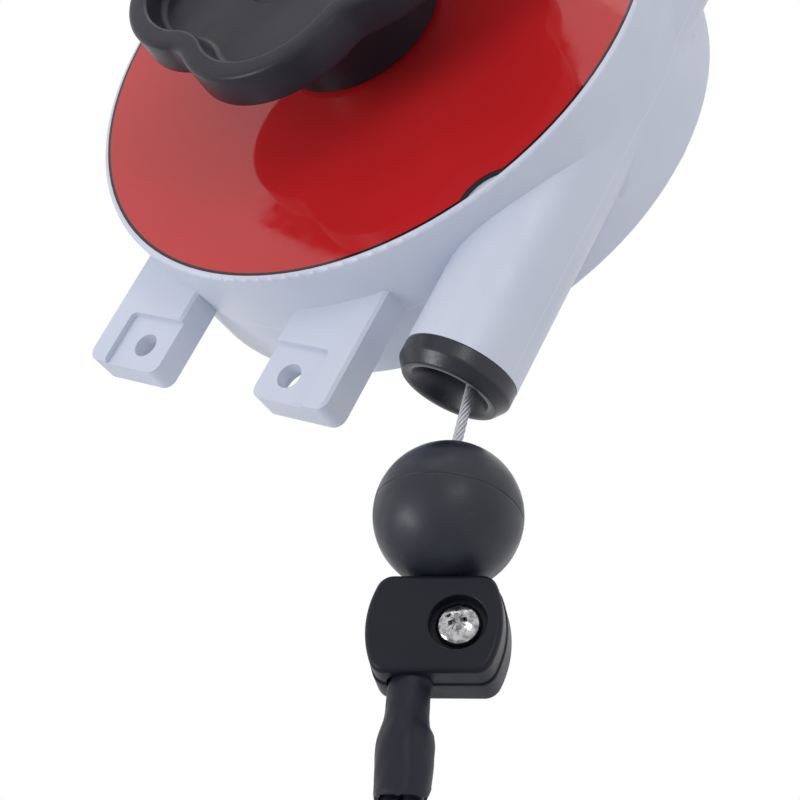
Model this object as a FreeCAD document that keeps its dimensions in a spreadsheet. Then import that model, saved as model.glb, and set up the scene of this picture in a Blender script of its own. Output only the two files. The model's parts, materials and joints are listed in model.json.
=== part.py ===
"""Tool balancer: a spring balancer that carries a hand tool on a wire rope.

Millimetres, +Z up. The origin is the middle of the top hook's bowl, on the rope's line of pull,
and the front, with the tension knob, faces -Y. The plane Y = 0 parts the two housing shells.
"""

import FreeCAD
import Part

import math
import os

import Sketcher

Vector = FreeCAD.Vector
Placement = FreeCAD.Placement
Rotation = FreeCAD.Rotation

driving_sizes = {
    # housing, measured from the drum's axis and from the parting plane
    "plate_radius": 65,
    "plate_thickness": 1,
    "plate_gap": 0.1,
    "rim_width": 1.3,
    "rim_fillet": 0.9,
    "front_room": 9.28,
    "back_room": 1.28,
    "parting_flare": 0.6,
    "back_flare": 0.2,
    "back_fillet": 1.4,
    "shell_wall": 3,
    "end_wall": 3,
    "line_inset": 12,
    "nozzle_radius": 11.6,
    "nozzle_reach": 1.3,
    "nozzle_bore_radius": 8.5,
    "boss_radius": 10,
    "boss_short": 7,
    "screw_count": 6,
    "screw_boss_radius": 3.7,
    "screw_radius": 1.5,
    "screw_head_radius": 2.8,
    "screw_head_height": 2,
    "screw_recess": 5,
    "screw_grip": 10,
    # fixing lugs
    "lug_inner": 13.9,
    "lug_outer": 34.2,
    "lug_reach": 19.2,
    "lug_thickness": 7.5,
    "lug_corner": 2.5,
    "lug_edge": 0.6,
    "lug_hole_offset": 20.9,
    "lug_hole_rise": 6,
    "lug_hole_radius": 2.75,
    "lug_pocket_outer": 28.6,
    "lug_pocket_height": 12.6,
    "lug_pocket_corner": 1.5,
    "lug_pocket_depth": 1.3,
    "lug_nut_radius": 5,
    "lug_nut_depth": 3.2,
    # face plate
    "plate_hole_radius": 11,
    "notch_angle": 35.2,
    "notch_radius": 8.5,
    "notch_depth": 1.9,
    # tension knob, measured from the face plate
    "knob_reach": 39.8,
    "lobe_radius": 21.3,
    "lobe_angle": 70.7,
    "valley_radius": 8,
    "knob_top": 28.9,
    "knob_thickness": 8.3,
    "knob_round": 2.4,
    "knob_rim": 5.5,
    "knob_dish": 5,
    "knob_hub_radius": 18.5,
    "knob_well_radius": 15,
    "knob_well_depth": 3,
    "knob_gap": 0.4,
    # arbor and ratchet
    "arbor_radius": 6,
    "arbor_tail_radius": 5,
    "arbor_collar_radius": 9.5,
    "arbor_collar_width": 1.2,
    "knob_square": 4,
    "ratchet_square": 6,
    "bush_wall": 2,
    "bush_boss_wall": 3,
    "bush_boss_height": 2,
    "tail_boss_height": 2.5,
    "tail_bush_length": 4.3,
    "knob_screw_radius": 2.5,
    "knob_screw_length": 14,
    "washer_radius": 8,
    "washer_thickness": 1,
    "ratchet_teeth": 24,
    "ratchet_radius": 16,
    "ratchet_tooth": 2,
    "ratchet_width": 4,
    "pawl_pin_radius": 2,
    "pawl_eye_radius": 4,
    "pawl_length": 19,
    "pawl_rise": 3.5,
    "pawl_gap": 0.3,
    # rope, drum and spring
    "rope_radius": 1,
    "rope_turns": 4,
    "rope_pitch": 2.6,
    "drum_flange_rise": 2.6,
    "drum_flange_width": 1.7,
    "drum_rim": 4.4,
    "drum_web": 2.5,
    "drum_hub_radius": 11,
    "drum_hub_length": 4,
    "cover_thickness": 1.5,
    "cover_screw_radius": 1.25,
    "cover_screw_length": 6,
    "anchor_radius": 1.5,
    "anchor_length": 6,
    "spring_strip": 0.8,
    "spring_turns": 7,
    "spring_width": 8,
    # running clearances
    "running_gap": 0.05,
    "side_gap": 0.3,
    # nozzle bush, measured up into the nozzle and down from its end
    "bush_depth": 16.3,
    "throat_depth": 12.3,
    "throat_radius": 1.6,
    "bush_band": 3.1,
    "bush_taper": 2.4,
    "bush_lip_radius": 9.8,
    "bush_mouth_radius": 8.9,
    "bush_bell_radius": 6.5,
    "bush_bell_depth": 1.6,
    # rope end
    "ball_radius": 13.5,
    "ball_bore_radius": 2.6,
    "clamp_width": 22.7,
    "clamp_end_width": 18.1,
    "clamp_height": 18.1,
    "clamp_half": 5.1,
    "clamp_rear_half": 5.9,
    "clamp_rope_offset": 3.2,
    "clamp_screw_offset": 4.4,
    "clamp_screw_radius": 2,
    "clamp_head_radius": 3.8,
    "clamp_recess_radius": 5.1,
    "clamp_recess_depth": 2.4,
    "clamp_nut_radius": 4,
    "clamp_nut_height": 2.2,
    "clamp_edge": 1.1,
    "clamp_rear_edge": 1.6,
    "clamp_lean": 24.6,
    "clamp_twist": 18,
    "sleeve_length": 19.5,
    "sleeve_radius": 4.6,
    "sleeve_neck_radius": 3.7,
    "sleeve_wall": 0.7,
    "sleeve_seat": 1.4,
    "ferrule_radius": 2.8,
    "ferrule_length": 12,
    "loop_tube_radius": 1.7,
    "loop_inner_radius": 6,
    "loop_drop": 32,
    # hooks
    "hook_wire_radius": 3.5,
    "hook_bowl_radius": 15,
    "hook_shank_radius": 4,
    "hook_collar_radius": 7,
    "hook_collar_height": 4,
    "hook_flange_radius": 6.6,
    "hook_flange_width": 3,
    "hook_cap_wall": 6,
    "hook_rise": 26,
    "hook_pin_radius": 1.25,
    "snap_wire_radius": 2.5,
    "snap_bowl_radius": 10,
    "snap_shank_radius": 2.2,
    "snap_collar_radius": 4.4,
    "snap_collar_height": 2.5,
    "snap_flange_radius": 3.4,
    "snap_flange_width": 1.6,
    "snap_cap_wall": 2.5,
    "snap_rise": 16.5,
    "snap_pin_radius": 0.9,
    "eye_wire_radius": 2.3,
    "eye_ring_radius": 5.2,
    "eye_boss_radius": 5,
    "latch_sheet": 1.2,
    "tip_angle": 25,
}

# Route of the rope from the bush's throat to the clamp, and the places on it, in X and Z from the
# middle of the nozzle's end.
rope_route = [(1.6, 6.5), (7.25, -15.0), (11.45, -29.7), (15.17, -43.5)]
ball_place = (13.3, -29.3)
clamp_place = (18.94, -51.74)

doc = FreeCAD.newDocument("ToolBalancer")
sheet = doc.addObject("Spreadsheet::Sheet", "Sizes")
for row, (alias, number) in enumerate(driving_sizes.items(), start=1):
    sheet.set(f"A{row}", str(number))
    sheet.setAlias(f"A{row}", alias)
doc.recompute()


class Size:
    """A size as a number, and as the formula in the sheet's cells that gives it."""

    def __init__(self, formula, number):
        self.formula = formula
        self.number = round(float(number), 9)

    def __float__(self):
        return self.number

    def __add__(self, other):
        return joined(self, "+", other, float(self) + float(other))

    def __radd__(self, other):
        return joined(other, "+", self, float(other) + float(self))

    def __sub__(self, other):
        return joined(self, "-", other, float(self) - float(other))

    def __rsub__(self, other):
        return joined(other, "-", self, float(other) - float(self))

    def __mul__(self, other):
        return joined(self, "*", other, float(self) * float(other))

    def __rmul__(self, other):
        return joined(other, "*", self, float(other) * float(self))

    def __truediv__(self, other):
        return joined(self, "/", other, float(self) / float(other))

    def __rtruediv__(self, other):
        return joined(other, "/", self, float(other) / float(self))

    def __neg__(self):
        return joined(0, "-", self, -float(self))


def formula_of(value):
    return value.formula if isinstance(value, Size) else repr(value)


def joined(left, sign, right, number):
    return Size(f"({formula_of(left)} {sign} {formula_of(right)})", number)


def cosine(angle):
    return Size(f"cos({formula_of(angle)})", math.cos(math.radians(float(angle))))


def sine(angle):
    return Size(f"sin({formula_of(angle)})", math.sin(math.radians(float(angle))))


class Sizes:
    """The sheet's cells by name."""


size = Sizes()
for alias in driving_sizes:
    setattr(size, alias, Size(f"Sizes.{alias}", getattr(sheet, alias)))

parting_radius = size.plate_radius + size.parting_flare
back_radius = size.plate_radius + size.back_flare
rope_circle = parting_radius - size.line_inset
cavity_radius = parting_radius - size.shell_wall
nozzle_length = size.plate_radius + size.nozzle_reach
boss_height = size.plate_radius - size.boss_short
axis_drop = boss_height + size.hook_collar_height + size.hook_rise
lug_bottom = size.plate_radius + size.lug_reach
lug_hole_drop = lug_bottom - size.lug_hole_rise
bush_top = nozzle_length - size.bush_depth
throat_drop = nozzle_length - size.throat_depth
drum_flange_radius = rope_circle + size.drum_flange_rise
flange_out = size.rope_pitch * 0.7 + size.drum_flange_width
front_inner = flange_out + size.cover_thickness + size.front_room
front_depth = front_inner + size.end_wall + size.plate_thickness
back_inner = size.rope_turns * size.rope_pitch + flange_out + size.back_room
back_depth = back_inner + size.end_wall
screw_circle = back_radius - size.screw_boss_radius - 0.2
bush_boss_end = front_inner - size.bush_boss_height
ratchet_front = bush_boss_end - 1 - size.side_gap
ratchet_back = ratchet_front - size.ratchet_width
collar_back = ratchet_back - size.arbor_collar_width
hub_end = back_inner - size.tail_boss_height - 2 * size.side_gap
tail_start = back_inner - size.tail_boss_height
cover_screw_circle = rope_circle - size.rope_radius - size.drum_rim / 2
lug_rows = (-1, 1)


# --- document helpers -------------------------------------------------------------------------


def bind(item, name, value):
    """Sets a property and binds it to the sheet where the value comes from there."""
    setattr(item, name, float(value))
    if isinstance(value, Size):
        item.setExpression(name, value.formula)


def new_body(label):
    body = doc.addObject("PartDesign::Body", label)
    body.Label = label
    return body


def origin_item(body, role):
    return next(item for item in body.Origin.OriginFeatures if item.Role == role)


def sketch(body, plane, offset=0):
    made = body.newObject("Sketcher::SketchObject", "Sketch")
    made.AttachmentSupport = (origin_item(body, plane), [""])
    made.MapMode = "FlatFace"
    made.AttachmentOffset = Placement(Vector(0, 0, float(offset)), Rotation())
    if isinstance(offset, Size):
        made.setExpression(".AttachmentOffset.Base.z", offset.formula)
    return made


def constrain(drawing, kind, ids, value):
    index = drawing.addConstraint(Sketcher.Constraint(kind, *ids, float(value)))
    if isinstance(value, Size):
        drawing.setExpression(f"Constraints[{index}]", value.formula)


def circle(drawing, radius, x=0, y=0):
    ring = Part.Circle(Vector(float(x), float(y), 0), Vector(0, 0, 1), float(radius))
    index = drawing.addGeometry(ring)
    constrain(drawing, "Radius", (index,), radius)
    constrain(drawing, "DistanceX", (-1, 1, index, 3), x)
    constrain(drawing, "DistanceY", (-1, 1, index, 3), y)


def outline(drawing, corners, bulges=None):
    """A closed outline, drawn counter-clockwise; bulges gives a side's arc radius by its index."""
    bulges = bulges or {}
    count = len(corners)
    points = [Vector(float(x), float(y), 0) for x, y in corners]
    sides = []
    for index, start in enumerate(points):
        end = points[(index + 1) % count]
        if index not in bulges:
            sides.append(drawing.addGeometry(Part.LineSegment(start, end)))
            continue
        radius = float(bulges[index])
        half = (end - start) * 0.5
        inward = Vector(-half.y, half.x, 0).normalize()
        centre = start + half + inward * math.sqrt(radius**2 - half.Length**2)
        arms = [point - centre for point in (start, end)]
        angles = [math.atan2(arm.y, arm.x) for arm in arms]
        ring = Part.Circle(centre, Vector(0, 0, 1), radius)
        sides.append(drawing.addGeometry(Part.ArcOfCircle(ring, *angles)))
    for index, side in enumerate(sides):
        following = sides[(index + 1) % count]
        drawing.addConstraint(Sketcher.Constraint("Coincident", side, 2, following, 1))
        x, y = corners[index]
        constrain(drawing, "DistanceX", (-1, 1, side, 1), x)
        constrain(drawing, "DistanceY", (-1, 1, side, 1), y)
        if index in bulges:
            constrain(drawing, "Radius", (side,), bulges[index])


def rectangle(drawing, x_low, x_high, y_low, y_high):
    outline(drawing, [(x_low, y_low), (x_high, y_low), (x_high, y_high), (x_low, y_high)])


def feature(body, kind, drawing, **settings):
    made = body.newObject(f"PartDesign::{kind}", kind)
    made.Profile = drawing
    for name, value in settings.items():
        if isinstance(value, (Size, float)):
            bind(made, name, value)
        else:
            setattr(made, name, value)
    drawing.Visibility = False
    return made


def pad(body, drawing, length, reverse=False):
    return feature(body, "Pad", drawing, Length=length, Reversed=reverse)


def pocket(body, drawing, length, reverse=False):
    return feature(body, "Pocket", drawing, Length=length, Reversed=reverse)


def cut_through(body, drawing, reverse=False):
    return feature(body, "Pocket", drawing, Type=1, Reversed=reverse)


def turned(body, kind, corners, plane="XY_Plane", bulges=None):
    """A Revolution or Groove of an outline in radius and height about the sketch's upright."""
    drawing = sketch(body, plane)
    outline(drawing, corners, bulges)
    return feature(body, kind, drawing, ReferenceAxis=(drawing, ["V_Axis"]), Angle=360.0)


def polar(body, features, count, axis="Y_Axis"):
    made = body.newObject("PartDesign::PolarPattern", "PolarPattern")
    made.Originals = features
    made.Axis = (origin_item(body, axis), [""])
    made.Angle = 360
    made.Occurrences = int(float(count))
    if isinstance(count, Size):
        made.setExpression("Occurrences", count.formula)
    body.Tip = made
    return made


def dress(body, kind, amount, wanted):
    """A Fillet or Chamfer on the edges of the body so far that wanted() picks."""
    doc.recompute()
    base = body.Tip
    names = [f"Edge{place}" for place, edge in enumerate(base.Shape.Edges, start=1) if wanted(edge)]
    made = body.newObject(f"PartDesign::{kind}", kind)
    made.Base = (base, names)
    bind(made, "Radius" if kind == "Fillet" else "Size", amount)
    return made


def is_ring(edge, radius, axial, axis="y"):
    """Whether an edge is a circle of this radius about the axis, at this height along it."""
    if not isinstance(edge.Curve, Part.Circle):
        return False
    same_radius = abs(edge.Curve.Radius - float(radius)) < 0.01
    return same_radius and abs(getattr(edge.Curve.Center, axis) - float(axial)) < 0.01


def plain(label, shape, place=None):
    """A sub-part whose shape Part's own functions make from the sheet's sizes."""
    made = doc.addObject("Part::Feature", label)
    made.Label = label
    made.Shape = shape
    if place:
        made.Placement = place
    return made


def rounded_wire(points, radii=None):
    """Straight runs joined by tangent arcs; radii lists them, or they are as large as fits."""
    points = [Vector(*point) for point in points]
    edges = []
    start = points[0]
    found = []
    for index in range(1, len(points) - 1):
        before = points[index - 1] - points[index]
        after = points[index + 1] - points[index]
        half_turn = (math.pi - before.getAngle(after)) / 2
        reach = 0.45 * min(before.Length, after.Length)
        radius = radii[index - 1] if radii else reach / math.tan(half_turn)
        found.append(radius)
        reach = radius * math.tan(half_turn)
        enter = points[index] + before.normalize() * reach
        leave = points[index] + after.normalize() * reach
        middle = (before + after).normalize()
        through = points[index] + middle * (radius / math.cos(half_turn) - radius)
        if (enter - start).Length > 1e-6:
            edges.append(Part.LineSegment(start, enter).toShape())
        edges.append(Part.Arc(enter, through, leave).toShape())
        start = leave
    if (points[-1] - start).Length > 1e-6:
        edges.append(Part.LineSegment(start, points[-1]).toShape())
    return Part.Wire(edges), found


def tube(wire, radius):
    """A round bar along a wire."""
    first = wire.Edges[0]
    ring = Part.Circle(first.valueAt(first.FirstParameter), first.tangentAt(first.FirstParameter), radius)
    return wire.makePipeShell([Part.Wire([ring.toShape()])], True, True)


# --- frames -----------------------------------------------------------------------------------

drum_frame = Placement(Vector(-float(rope_circle), 0, -float(axis_drop)), Rotation())
line_frame = Placement(Vector(0, 0, -float(axis_drop)), Rotation())
nozzle_frame = line_frame * Placement(Vector(0, 0, -float(nozzle_length)), Rotation())
rope_turn = Rotation(Vector(0, 1, 0), -float(size.clamp_lean)) * Rotation(Vector(0, 0, 1), float(size.clamp_twist))
clamp_frame = nozzle_frame * Placement(Vector(clamp_place[0], 0, clamp_place[1]), rope_turn)


# --- housing ----------------------------------------------------------------------------------


def shell(label, side, depth, end_radius, inner, bore_steps):
    """One half of the housing, open at the parting plane: disc, nozzle, boss, cavity, screw posts."""
    body = new_body(label)
    profile = [(0, 0), (parting_radius, 0), (end_radius, side * depth), (0, side * depth)]
    if side < 0:
        profile = profile[::-1]
    turned(body, "Revolution", profile)
    for radius, length, down in (
        (size.nozzle_radius, nozzle_length, True),
        (size.boss_radius, boss_height, False),
    ):
        drawing = sketch(body, "XY_Plane")
        circle(drawing, radius, rope_circle)
        pad(body, drawing, length, reverse=down)
    if side < 0:
        lugs(body)
    drawing = sketch(body, "XZ_Plane")
    span = nozzle_length * 2
    rectangle(drawing, -span, span, -span, span)
    pocket(body, drawing, size.nozzle_radius * 2, reverse=side > 0)
    cavity = [(0, 0), (cavity_radius, 0), (cavity_radius, side * inner)]
    cavity += [(radius, side * height) for radius, height in bore_steps]
    if side < 0:
        cavity = cavity[::-1]
    turned(body, "Groove", cavity)

    drawing = sketch(body, "XY_Plane")
    circle(drawing, size.nozzle_bore_radius, rope_circle)
    cut_through(body, drawing)
    chamber_top = boss_height - size.hook_cap_wall
    chamber_height = size.hook_flange_width + 2 * size.side_gap
    drawing = sketch(body, "XY_Plane", chamber_top - chamber_height)
    circle(drawing, size.hook_flange_radius + size.side_gap, rope_circle)
    pocket(body, drawing, chamber_height, reverse=True)
    drawing = sketch(body, "XY_Plane", chamber_top)
    circle(drawing, size.hook_shank_radius + size.running_gap, rope_circle)
    cut_through(body, drawing, reverse=True)

    drawing = sketch(body, "XZ_Plane")
    circle(drawing, size.screw_boss_radius, screw_circle)
    post = pad(body, drawing, inner, reverse=side > 0)
    return body, post


def lugs(body):
    """Two fixing lugs with a pocket that is open inward and downward, and a through hole."""
    drawing = sketch(body, "XZ_Plane")
    root = size.plate_radius - size.lug_reach / 2
    for row in lug_rows:
        near, far = sorted((row * size.lug_inner, row * size.lug_outer), key=float)
        rectangle(drawing, near, far, -lug_bottom, -root)
    pad(body, drawing, size.lug_thickness)
    bottom = -float(lug_bottom)
    dress(body, "Fillet", size.lug_corner, lambda edge: lug_corner(edge, bottom))
    face = -float(size.lug_thickness)
    floor = -(float(lug_bottom) - float(size.lug_reach) / 2)
    dress(body, "Chamfer", size.lug_edge, lambda edge: lug_face_edge(edge, face, floor))
    drawing = sketch(body, "XZ_Plane", size.lug_thickness)
    top = -lug_bottom + size.lug_pocket_height
    corner = size.lug_pocket_corner
    for row in lug_rows:
        inner, outer = row * (size.lug_inner - 1), row * size.lug_pocket_outer
        corners = [(inner, -lug_bottom - 1), (outer, -lug_bottom - 1), (outer, top - corner)]
        corners += [(outer - row * corner, top), (inner, top)]
        outline(drawing, corners[::row], {2 if row > 0 else 1: corner})
    pocket(body, drawing, size.lug_pocket_depth)
    drawing = sketch(body, "XZ_Plane", size.lug_thickness)
    for row in lug_rows:
        circle(drawing, size.lug_hole_radius, row * size.lug_hole_offset, -lug_hole_drop)
    pocket(body, drawing, size.lug_thickness * 2)
    drawing = sketch(body, "XZ_Plane")
    for row in lug_rows:
        circle(drawing, size.lug_nut_radius, row * size.lug_hole_offset, -lug_hole_drop)
    pocket(body, drawing, size.lug_nut_depth, reverse=True)


def lug_face_edge(edge, face, floor):
    """Whether an edge bounds a lug's front face below its root."""
    ends = [vertex.Point for vertex in edge.Vertexes]
    on_face = all(abs(end.y - face) < 1e-4 for end in ends)
    return on_face and min(end.z for end in ends) < floor and abs(edge.valueAt(edge.FirstParameter).y - face) < 1e-4


def lug_corner(edge, bottom):
    ends = [vertex.Point for vertex in edge.Vertexes]
    along_y = len(ends) == 2 and abs(ends[0].z - ends[1].z) < 1e-6 and abs(ends[0].x - ends[1].x) < 1e-6
    return along_y and abs(ends[0].z - bottom) < 1e-6


def front_housing():
    bush_radius = size.arbor_radius + size.bush_wall
    boss_radius = bush_radius + size.bush_boss_wall
    steps = [
        (boss_radius, front_inner),
        (boss_radius, bush_boss_end),
        (bush_radius, bush_boss_end),
        (bush_radius, front_depth),
        (0, front_depth),
    ]
    rim = size.plate_radius + size.rim_width
    body, post = shell("front_housing", -1, front_depth, rim, front_inner, steps)
    drawing = sketch(body, "XZ_Plane")
    circle(drawing, size.screw_radius + size.running_gap, screw_circle)
    hole = pocket(body, drawing, size.screw_grip, reverse=True)
    polar(body, [post, hole], size.screw_count)
    recess = size.plate_radius + size.plate_gap
    floor = -front_depth + size.plate_thickness
    turned(body, "Groove", [(0, -front_depth), (recess, -front_depth), (recess, floor), (0, floor)])
    pin_x, pin_z = pawl_pivot()
    drawing = sketch(body, "XZ_Plane", bush_boss_end)
    circle(drawing, size.pawl_eye_radius, pin_x, pin_z)
    pad(body, drawing, size.bush_boss_height, reverse=False)
    drawing = sketch(body, "XZ_Plane", bush_boss_end)
    circle(drawing, size.pawl_pin_radius, pin_x, pin_z)
    pocket(body, drawing, size.bush_boss_height + size.end_wall / 2, reverse=True)
    dress(body, "Fillet", size.rim_fillet, lambda edge: is_ring(edge, rim, -front_depth))
    return body


def rear_housing():
    bush_radius = size.arbor_tail_radius + size.bush_wall
    boss_radius = bush_radius + size.bush_boss_wall
    blind = tail_start + size.tail_bush_length
    steps = [
        (boss_radius, back_inner),
        (boss_radius, tail_start),
        (bush_radius, tail_start),
        (bush_radius, blind),
        (0, blind),
    ]
    body, post = shell("rear_housing", 1, back_depth, back_radius, back_inner, steps)
    drawing = sketch(body, "XZ_Plane")
    circle(drawing, size.screw_radius + size.side_gap / 2, screw_circle)
    hole = pocket(body, drawing, back_depth)
    drawing = sketch(body, "XZ_Plane", -back_depth)
    circle(drawing, size.screw_head_radius + size.side_gap, screw_circle)
    recess = pocket(body, drawing, size.screw_recess, reverse=True)
    polar(body, [post, hole, recess], size.screw_count)
    dress(body, "Fillet", size.back_fillet, lambda edge: is_ring(edge, back_radius, back_depth))
    return body


def screw_solid(radius, length, head_radius, head_height, slot=0.9):
    """A pan-head screw along +Y, its head's seat at Y = 0 and its head towards -Y."""
    away = Vector(0, 1, 0)
    shank = Part.makeCylinder(radius, length, Vector(0, 0, 0), away)
    head = Part.makeCylinder(head_radius, head_height, Vector(0, -head_height, 0), away)
    crown = [edge for edge in head.Edges if is_ring(edge, head_radius, -head_height)]
    head = head.makeFillet(0.45 * head_height, crown)
    arm = 1.2 * head_radius
    for wide, tall in ((arm, slot), (slot, arm)):
        corner = Vector(-wide / 2, -head_height, -tall / 2)
        head = head.cut(Part.makeBox(wide, 0.55 * head_height, tall, corner))
    return shank.fuse(head).removeSplitter()


def around_y(shape, count):
    """Copies of a shape spread evenly about the Y axis."""
    turns = [Rotation(Vector(0, 1, 0), 360 * place / count) for place in range(count)]
    return Part.makeCompound([moved(shape, Placement(Vector(), turn)) for turn in turns])


def moved(shape, place):
    return shape.transformed(place.toMatrix(), True)


def housing_screws():
    radius = float(size.screw_radius)
    length = float(back_depth) - float(size.screw_recess) + float(size.screw_grip) - 1
    screw = screw_solid(radius, length, float(size.screw_head_radius), float(size.screw_head_height))
    seat = float(back_depth) - float(size.screw_recess)
    turn = Placement(Vector(float(screw_circle), seat, 0), Rotation(Vector(0, 0, 1), 180))
    return plain("housing_screws", around_y(moved(screw, turn), int(size.screw_count.number)), drum_frame)


def face_plate():
    body = new_body("face_plate")
    back = -front_depth + size.plate_thickness
    corners = [(size.plate_hole_radius, -front_depth), (size.plate_radius, -front_depth)]
    corners += [(size.plate_radius, back), (size.plate_hole_radius, back)]
    turned(body, "Revolution", corners)
    drawing = sketch(body, "XZ_Plane", front_depth)
    away = size.plate_radius + size.notch_radius - size.notch_depth
    circle(drawing, size.notch_radius, away * cosine(size.notch_angle), -away * sine(size.notch_angle))
    pocket(body, drawing, size.plate_thickness)
    return body


# --- tension knob, arbor and ratchet ----------------------------------------------------------


def lobes(drawing, radius):
    """One lobe's circle."""
    away = size.knob_reach - size.lobe_radius
    circle(drawing, radius, away * cosine(size.lobe_angle), away * sine(size.lobe_angle))


def is_valley(edge, low, high):
    """Whether an edge runs along Y between these distances from the axis."""
    ends = [vertex.Point for vertex in edge.Vertexes]
    if len(ends) != 2 or math.hypot(ends[0].x - ends[1].x, ends[0].z - ends[1].z) > 1e-4:
        return False
    return low < math.hypot(ends[0].x, ends[0].z) < high


def knob():
    body = new_body("knob")
    top = front_depth + size.knob_top
    underside = top - size.knob_thickness
    drawing = sketch(body, "XZ_Plane", underside)
    lobes(drawing, size.lobe_radius)
    lobe = pad(body, drawing, size.knob_thickness)
    polar(body, [lobe], 5)
    reach = float(size.knob_reach)
    dress(body, "Fillet", size.valley_radius, lambda edge: is_valley(edge, 0.6 * reach, reach))
    dress(body, "Fillet", size.knob_round, lambda edge: all(abs(v.Point.y + float(top)) < 1e-4 for v in edge.Vertexes))
    drawing = sketch(body, "XZ_Plane", top)
    lobes(drawing, size.lobe_radius - size.knob_rim)
    dish = pocket(body, drawing, size.knob_dish)
    polar(body, [dish], 5)
    drawing = sketch(body, "XZ_Plane", top)
    circle(drawing, size.knob_well_radius)
    pocket(body, drawing, size.knob_dish)
    dress(body, "Fillet", size.valley_radius * 0.6, lambda edge: is_valley(edge, 0.4 * reach, 0.75 * reach))
    drawing = sketch(body, "XZ_Plane", underside)
    circle(drawing, size.knob_hub_radius)
    pad(body, drawing, size.knob_top - size.knob_thickness - size.knob_gap, reverse=True)
    floor = top - size.knob_dish
    drawing = sketch(body, "XZ_Plane", floor)
    circle(drawing, size.knob_well_radius)
    pocket(body, drawing, size.knob_well_depth)
    drawing = sketch(body, "XZ_Plane", floor)
    side = size.knob_square + size.running_gap
    rectangle(drawing, -side, side, -side, side)
    cut_through(body, drawing)
    return body


def knob_floor():
    return front_depth + size.knob_top - size.knob_dish - size.knob_well_depth


def arbor():
    """Squared for the knob, plain in the front bush, squared for the ratchet, collared, plain."""
    body = new_body("arbor")
    front = front_depth + size.knob_gap
    tail = tail_start + size.tail_bush_length - size.side_gap
    corners = [
        (0, -front),
        (size.arbor_radius, -front),
        (size.arbor_radius, -ratchet_back),
        (size.arbor_collar_radius, -ratchet_back),
        (size.arbor_collar_radius, -collar_back),
        (size.arbor_radius, -collar_back),
        (size.arbor_radius, tail_start - size.side_gap),
        (size.arbor_tail_radius, tail_start - size.side_gap),
        (size.arbor_tail_radius, tail),
        (0, tail),
    ]
    turned(body, "Revolution", corners)
    drawing = sketch(body, "XZ_Plane", front)
    rectangle(drawing, -size.knob_square, size.knob_square, -size.knob_square, size.knob_square)
    pad(body, drawing, knob_floor() - front - 1)
    drawing = sketch(body, "XZ_Plane", ratchet_back)
    square = size.ratchet_square
    rectangle(drawing, -square, square, -square, square)
    pad(body, drawing, size.ratchet_width)
    drawing = sketch(body, "XZ_Plane", knob_floor())
    circle(drawing, size.knob_screw_radius)
    pocket(body, drawing, size.knob_screw_length + 1)
    return body


def ratchet_wheel():
    body = new_body("ratchet_wheel")
    root = size.ratchet_radius - size.ratchet_tooth
    drawing = sketch(body, "XZ_Plane", ratchet_back)
    circle(drawing, root)
    pad(body, drawing, size.ratchet_width)
    drawing = sketch(body, "XZ_Plane", ratchet_back)
    step = 360 / size.ratchet_teeth
    outline(
        drawing,
        [
            (root - 1, 0),
            (size.ratchet_radius, 0),
            (root * cosine(step), root * sine(step)),
            ((root - 1) * cosine(step), (root - 1) * sine(step)),
        ],
    )
    tooth = pad(body, drawing, size.ratchet_width)
    polar(body, [tooth], size.ratchet_teeth)
    drawing = sketch(body, "XZ_Plane", ratchet_front)
    side = size.ratchet_square + size.running_gap
    rectangle(drawing, -side, side, -side, side)
    cut_through(body, drawing)
    return body


def pawl_pivot():
    return size.pawl_length, size.ratchet_radius - size.ratchet_tooth + size.pawl_rise


def pawl():
    """A strut from its pin to the radial face of the tooth at the wheel's top."""
    body = new_body("pawl")
    x, z = pawl_pivot()
    gap = size.pawl_gap
    root = size.ratchet_radius - size.ratchet_tooth
    step = 360 / size.ratchet_teeth
    tip = size.ratchet_radius + gap
    drawing = sketch(body, "XZ_Plane", ratchet_back)
    circle(drawing, size.pawl_eye_radius, x, z)
    pad(body, drawing, size.ratchet_width)
    drawing = sketch(body, "XZ_Plane", ratchet_back)
    outline(
        drawing,
        [
            (gap, root + gap),
            (tip * sine(step), tip * cosine(step)),
            (x, z - size.pawl_eye_radius / 2),
            (x, z + size.pawl_eye_radius / 2),
            (gap, size.ratchet_radius + gap * 3),
        ],
    )
    pad(body, drawing, size.ratchet_width)
    drawing = sketch(body, "XZ_Plane", ratchet_front)
    circle(drawing, size.pawl_pin_radius + size.running_gap, x, z)
    pocket(body, drawing, size.ratchet_width)
    return body


def pawl_pin():
    """A pin pressed into the front shell's wall, with a flat head that keeps the pawl on."""
    x, z = (float(value) for value in pawl_pivot())
    foot = float(bush_boss_end) + float(size.bush_boss_height) + float(size.end_wall) / 2
    head = float(ratchet_back) - float(size.side_gap)
    radius = float(size.pawl_pin_radius)
    pin = Part.makeCylinder(radius, foot - head, Vector(x, -foot, z), Vector(0, 1, 0))
    cap = Part.makeCylinder(1.7 * radius, 1, Vector(x, -head, z), Vector(0, 1, 0))
    return plain("pawl_pin", pin.fuse(cap).removeSplitter(), drum_frame)


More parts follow.
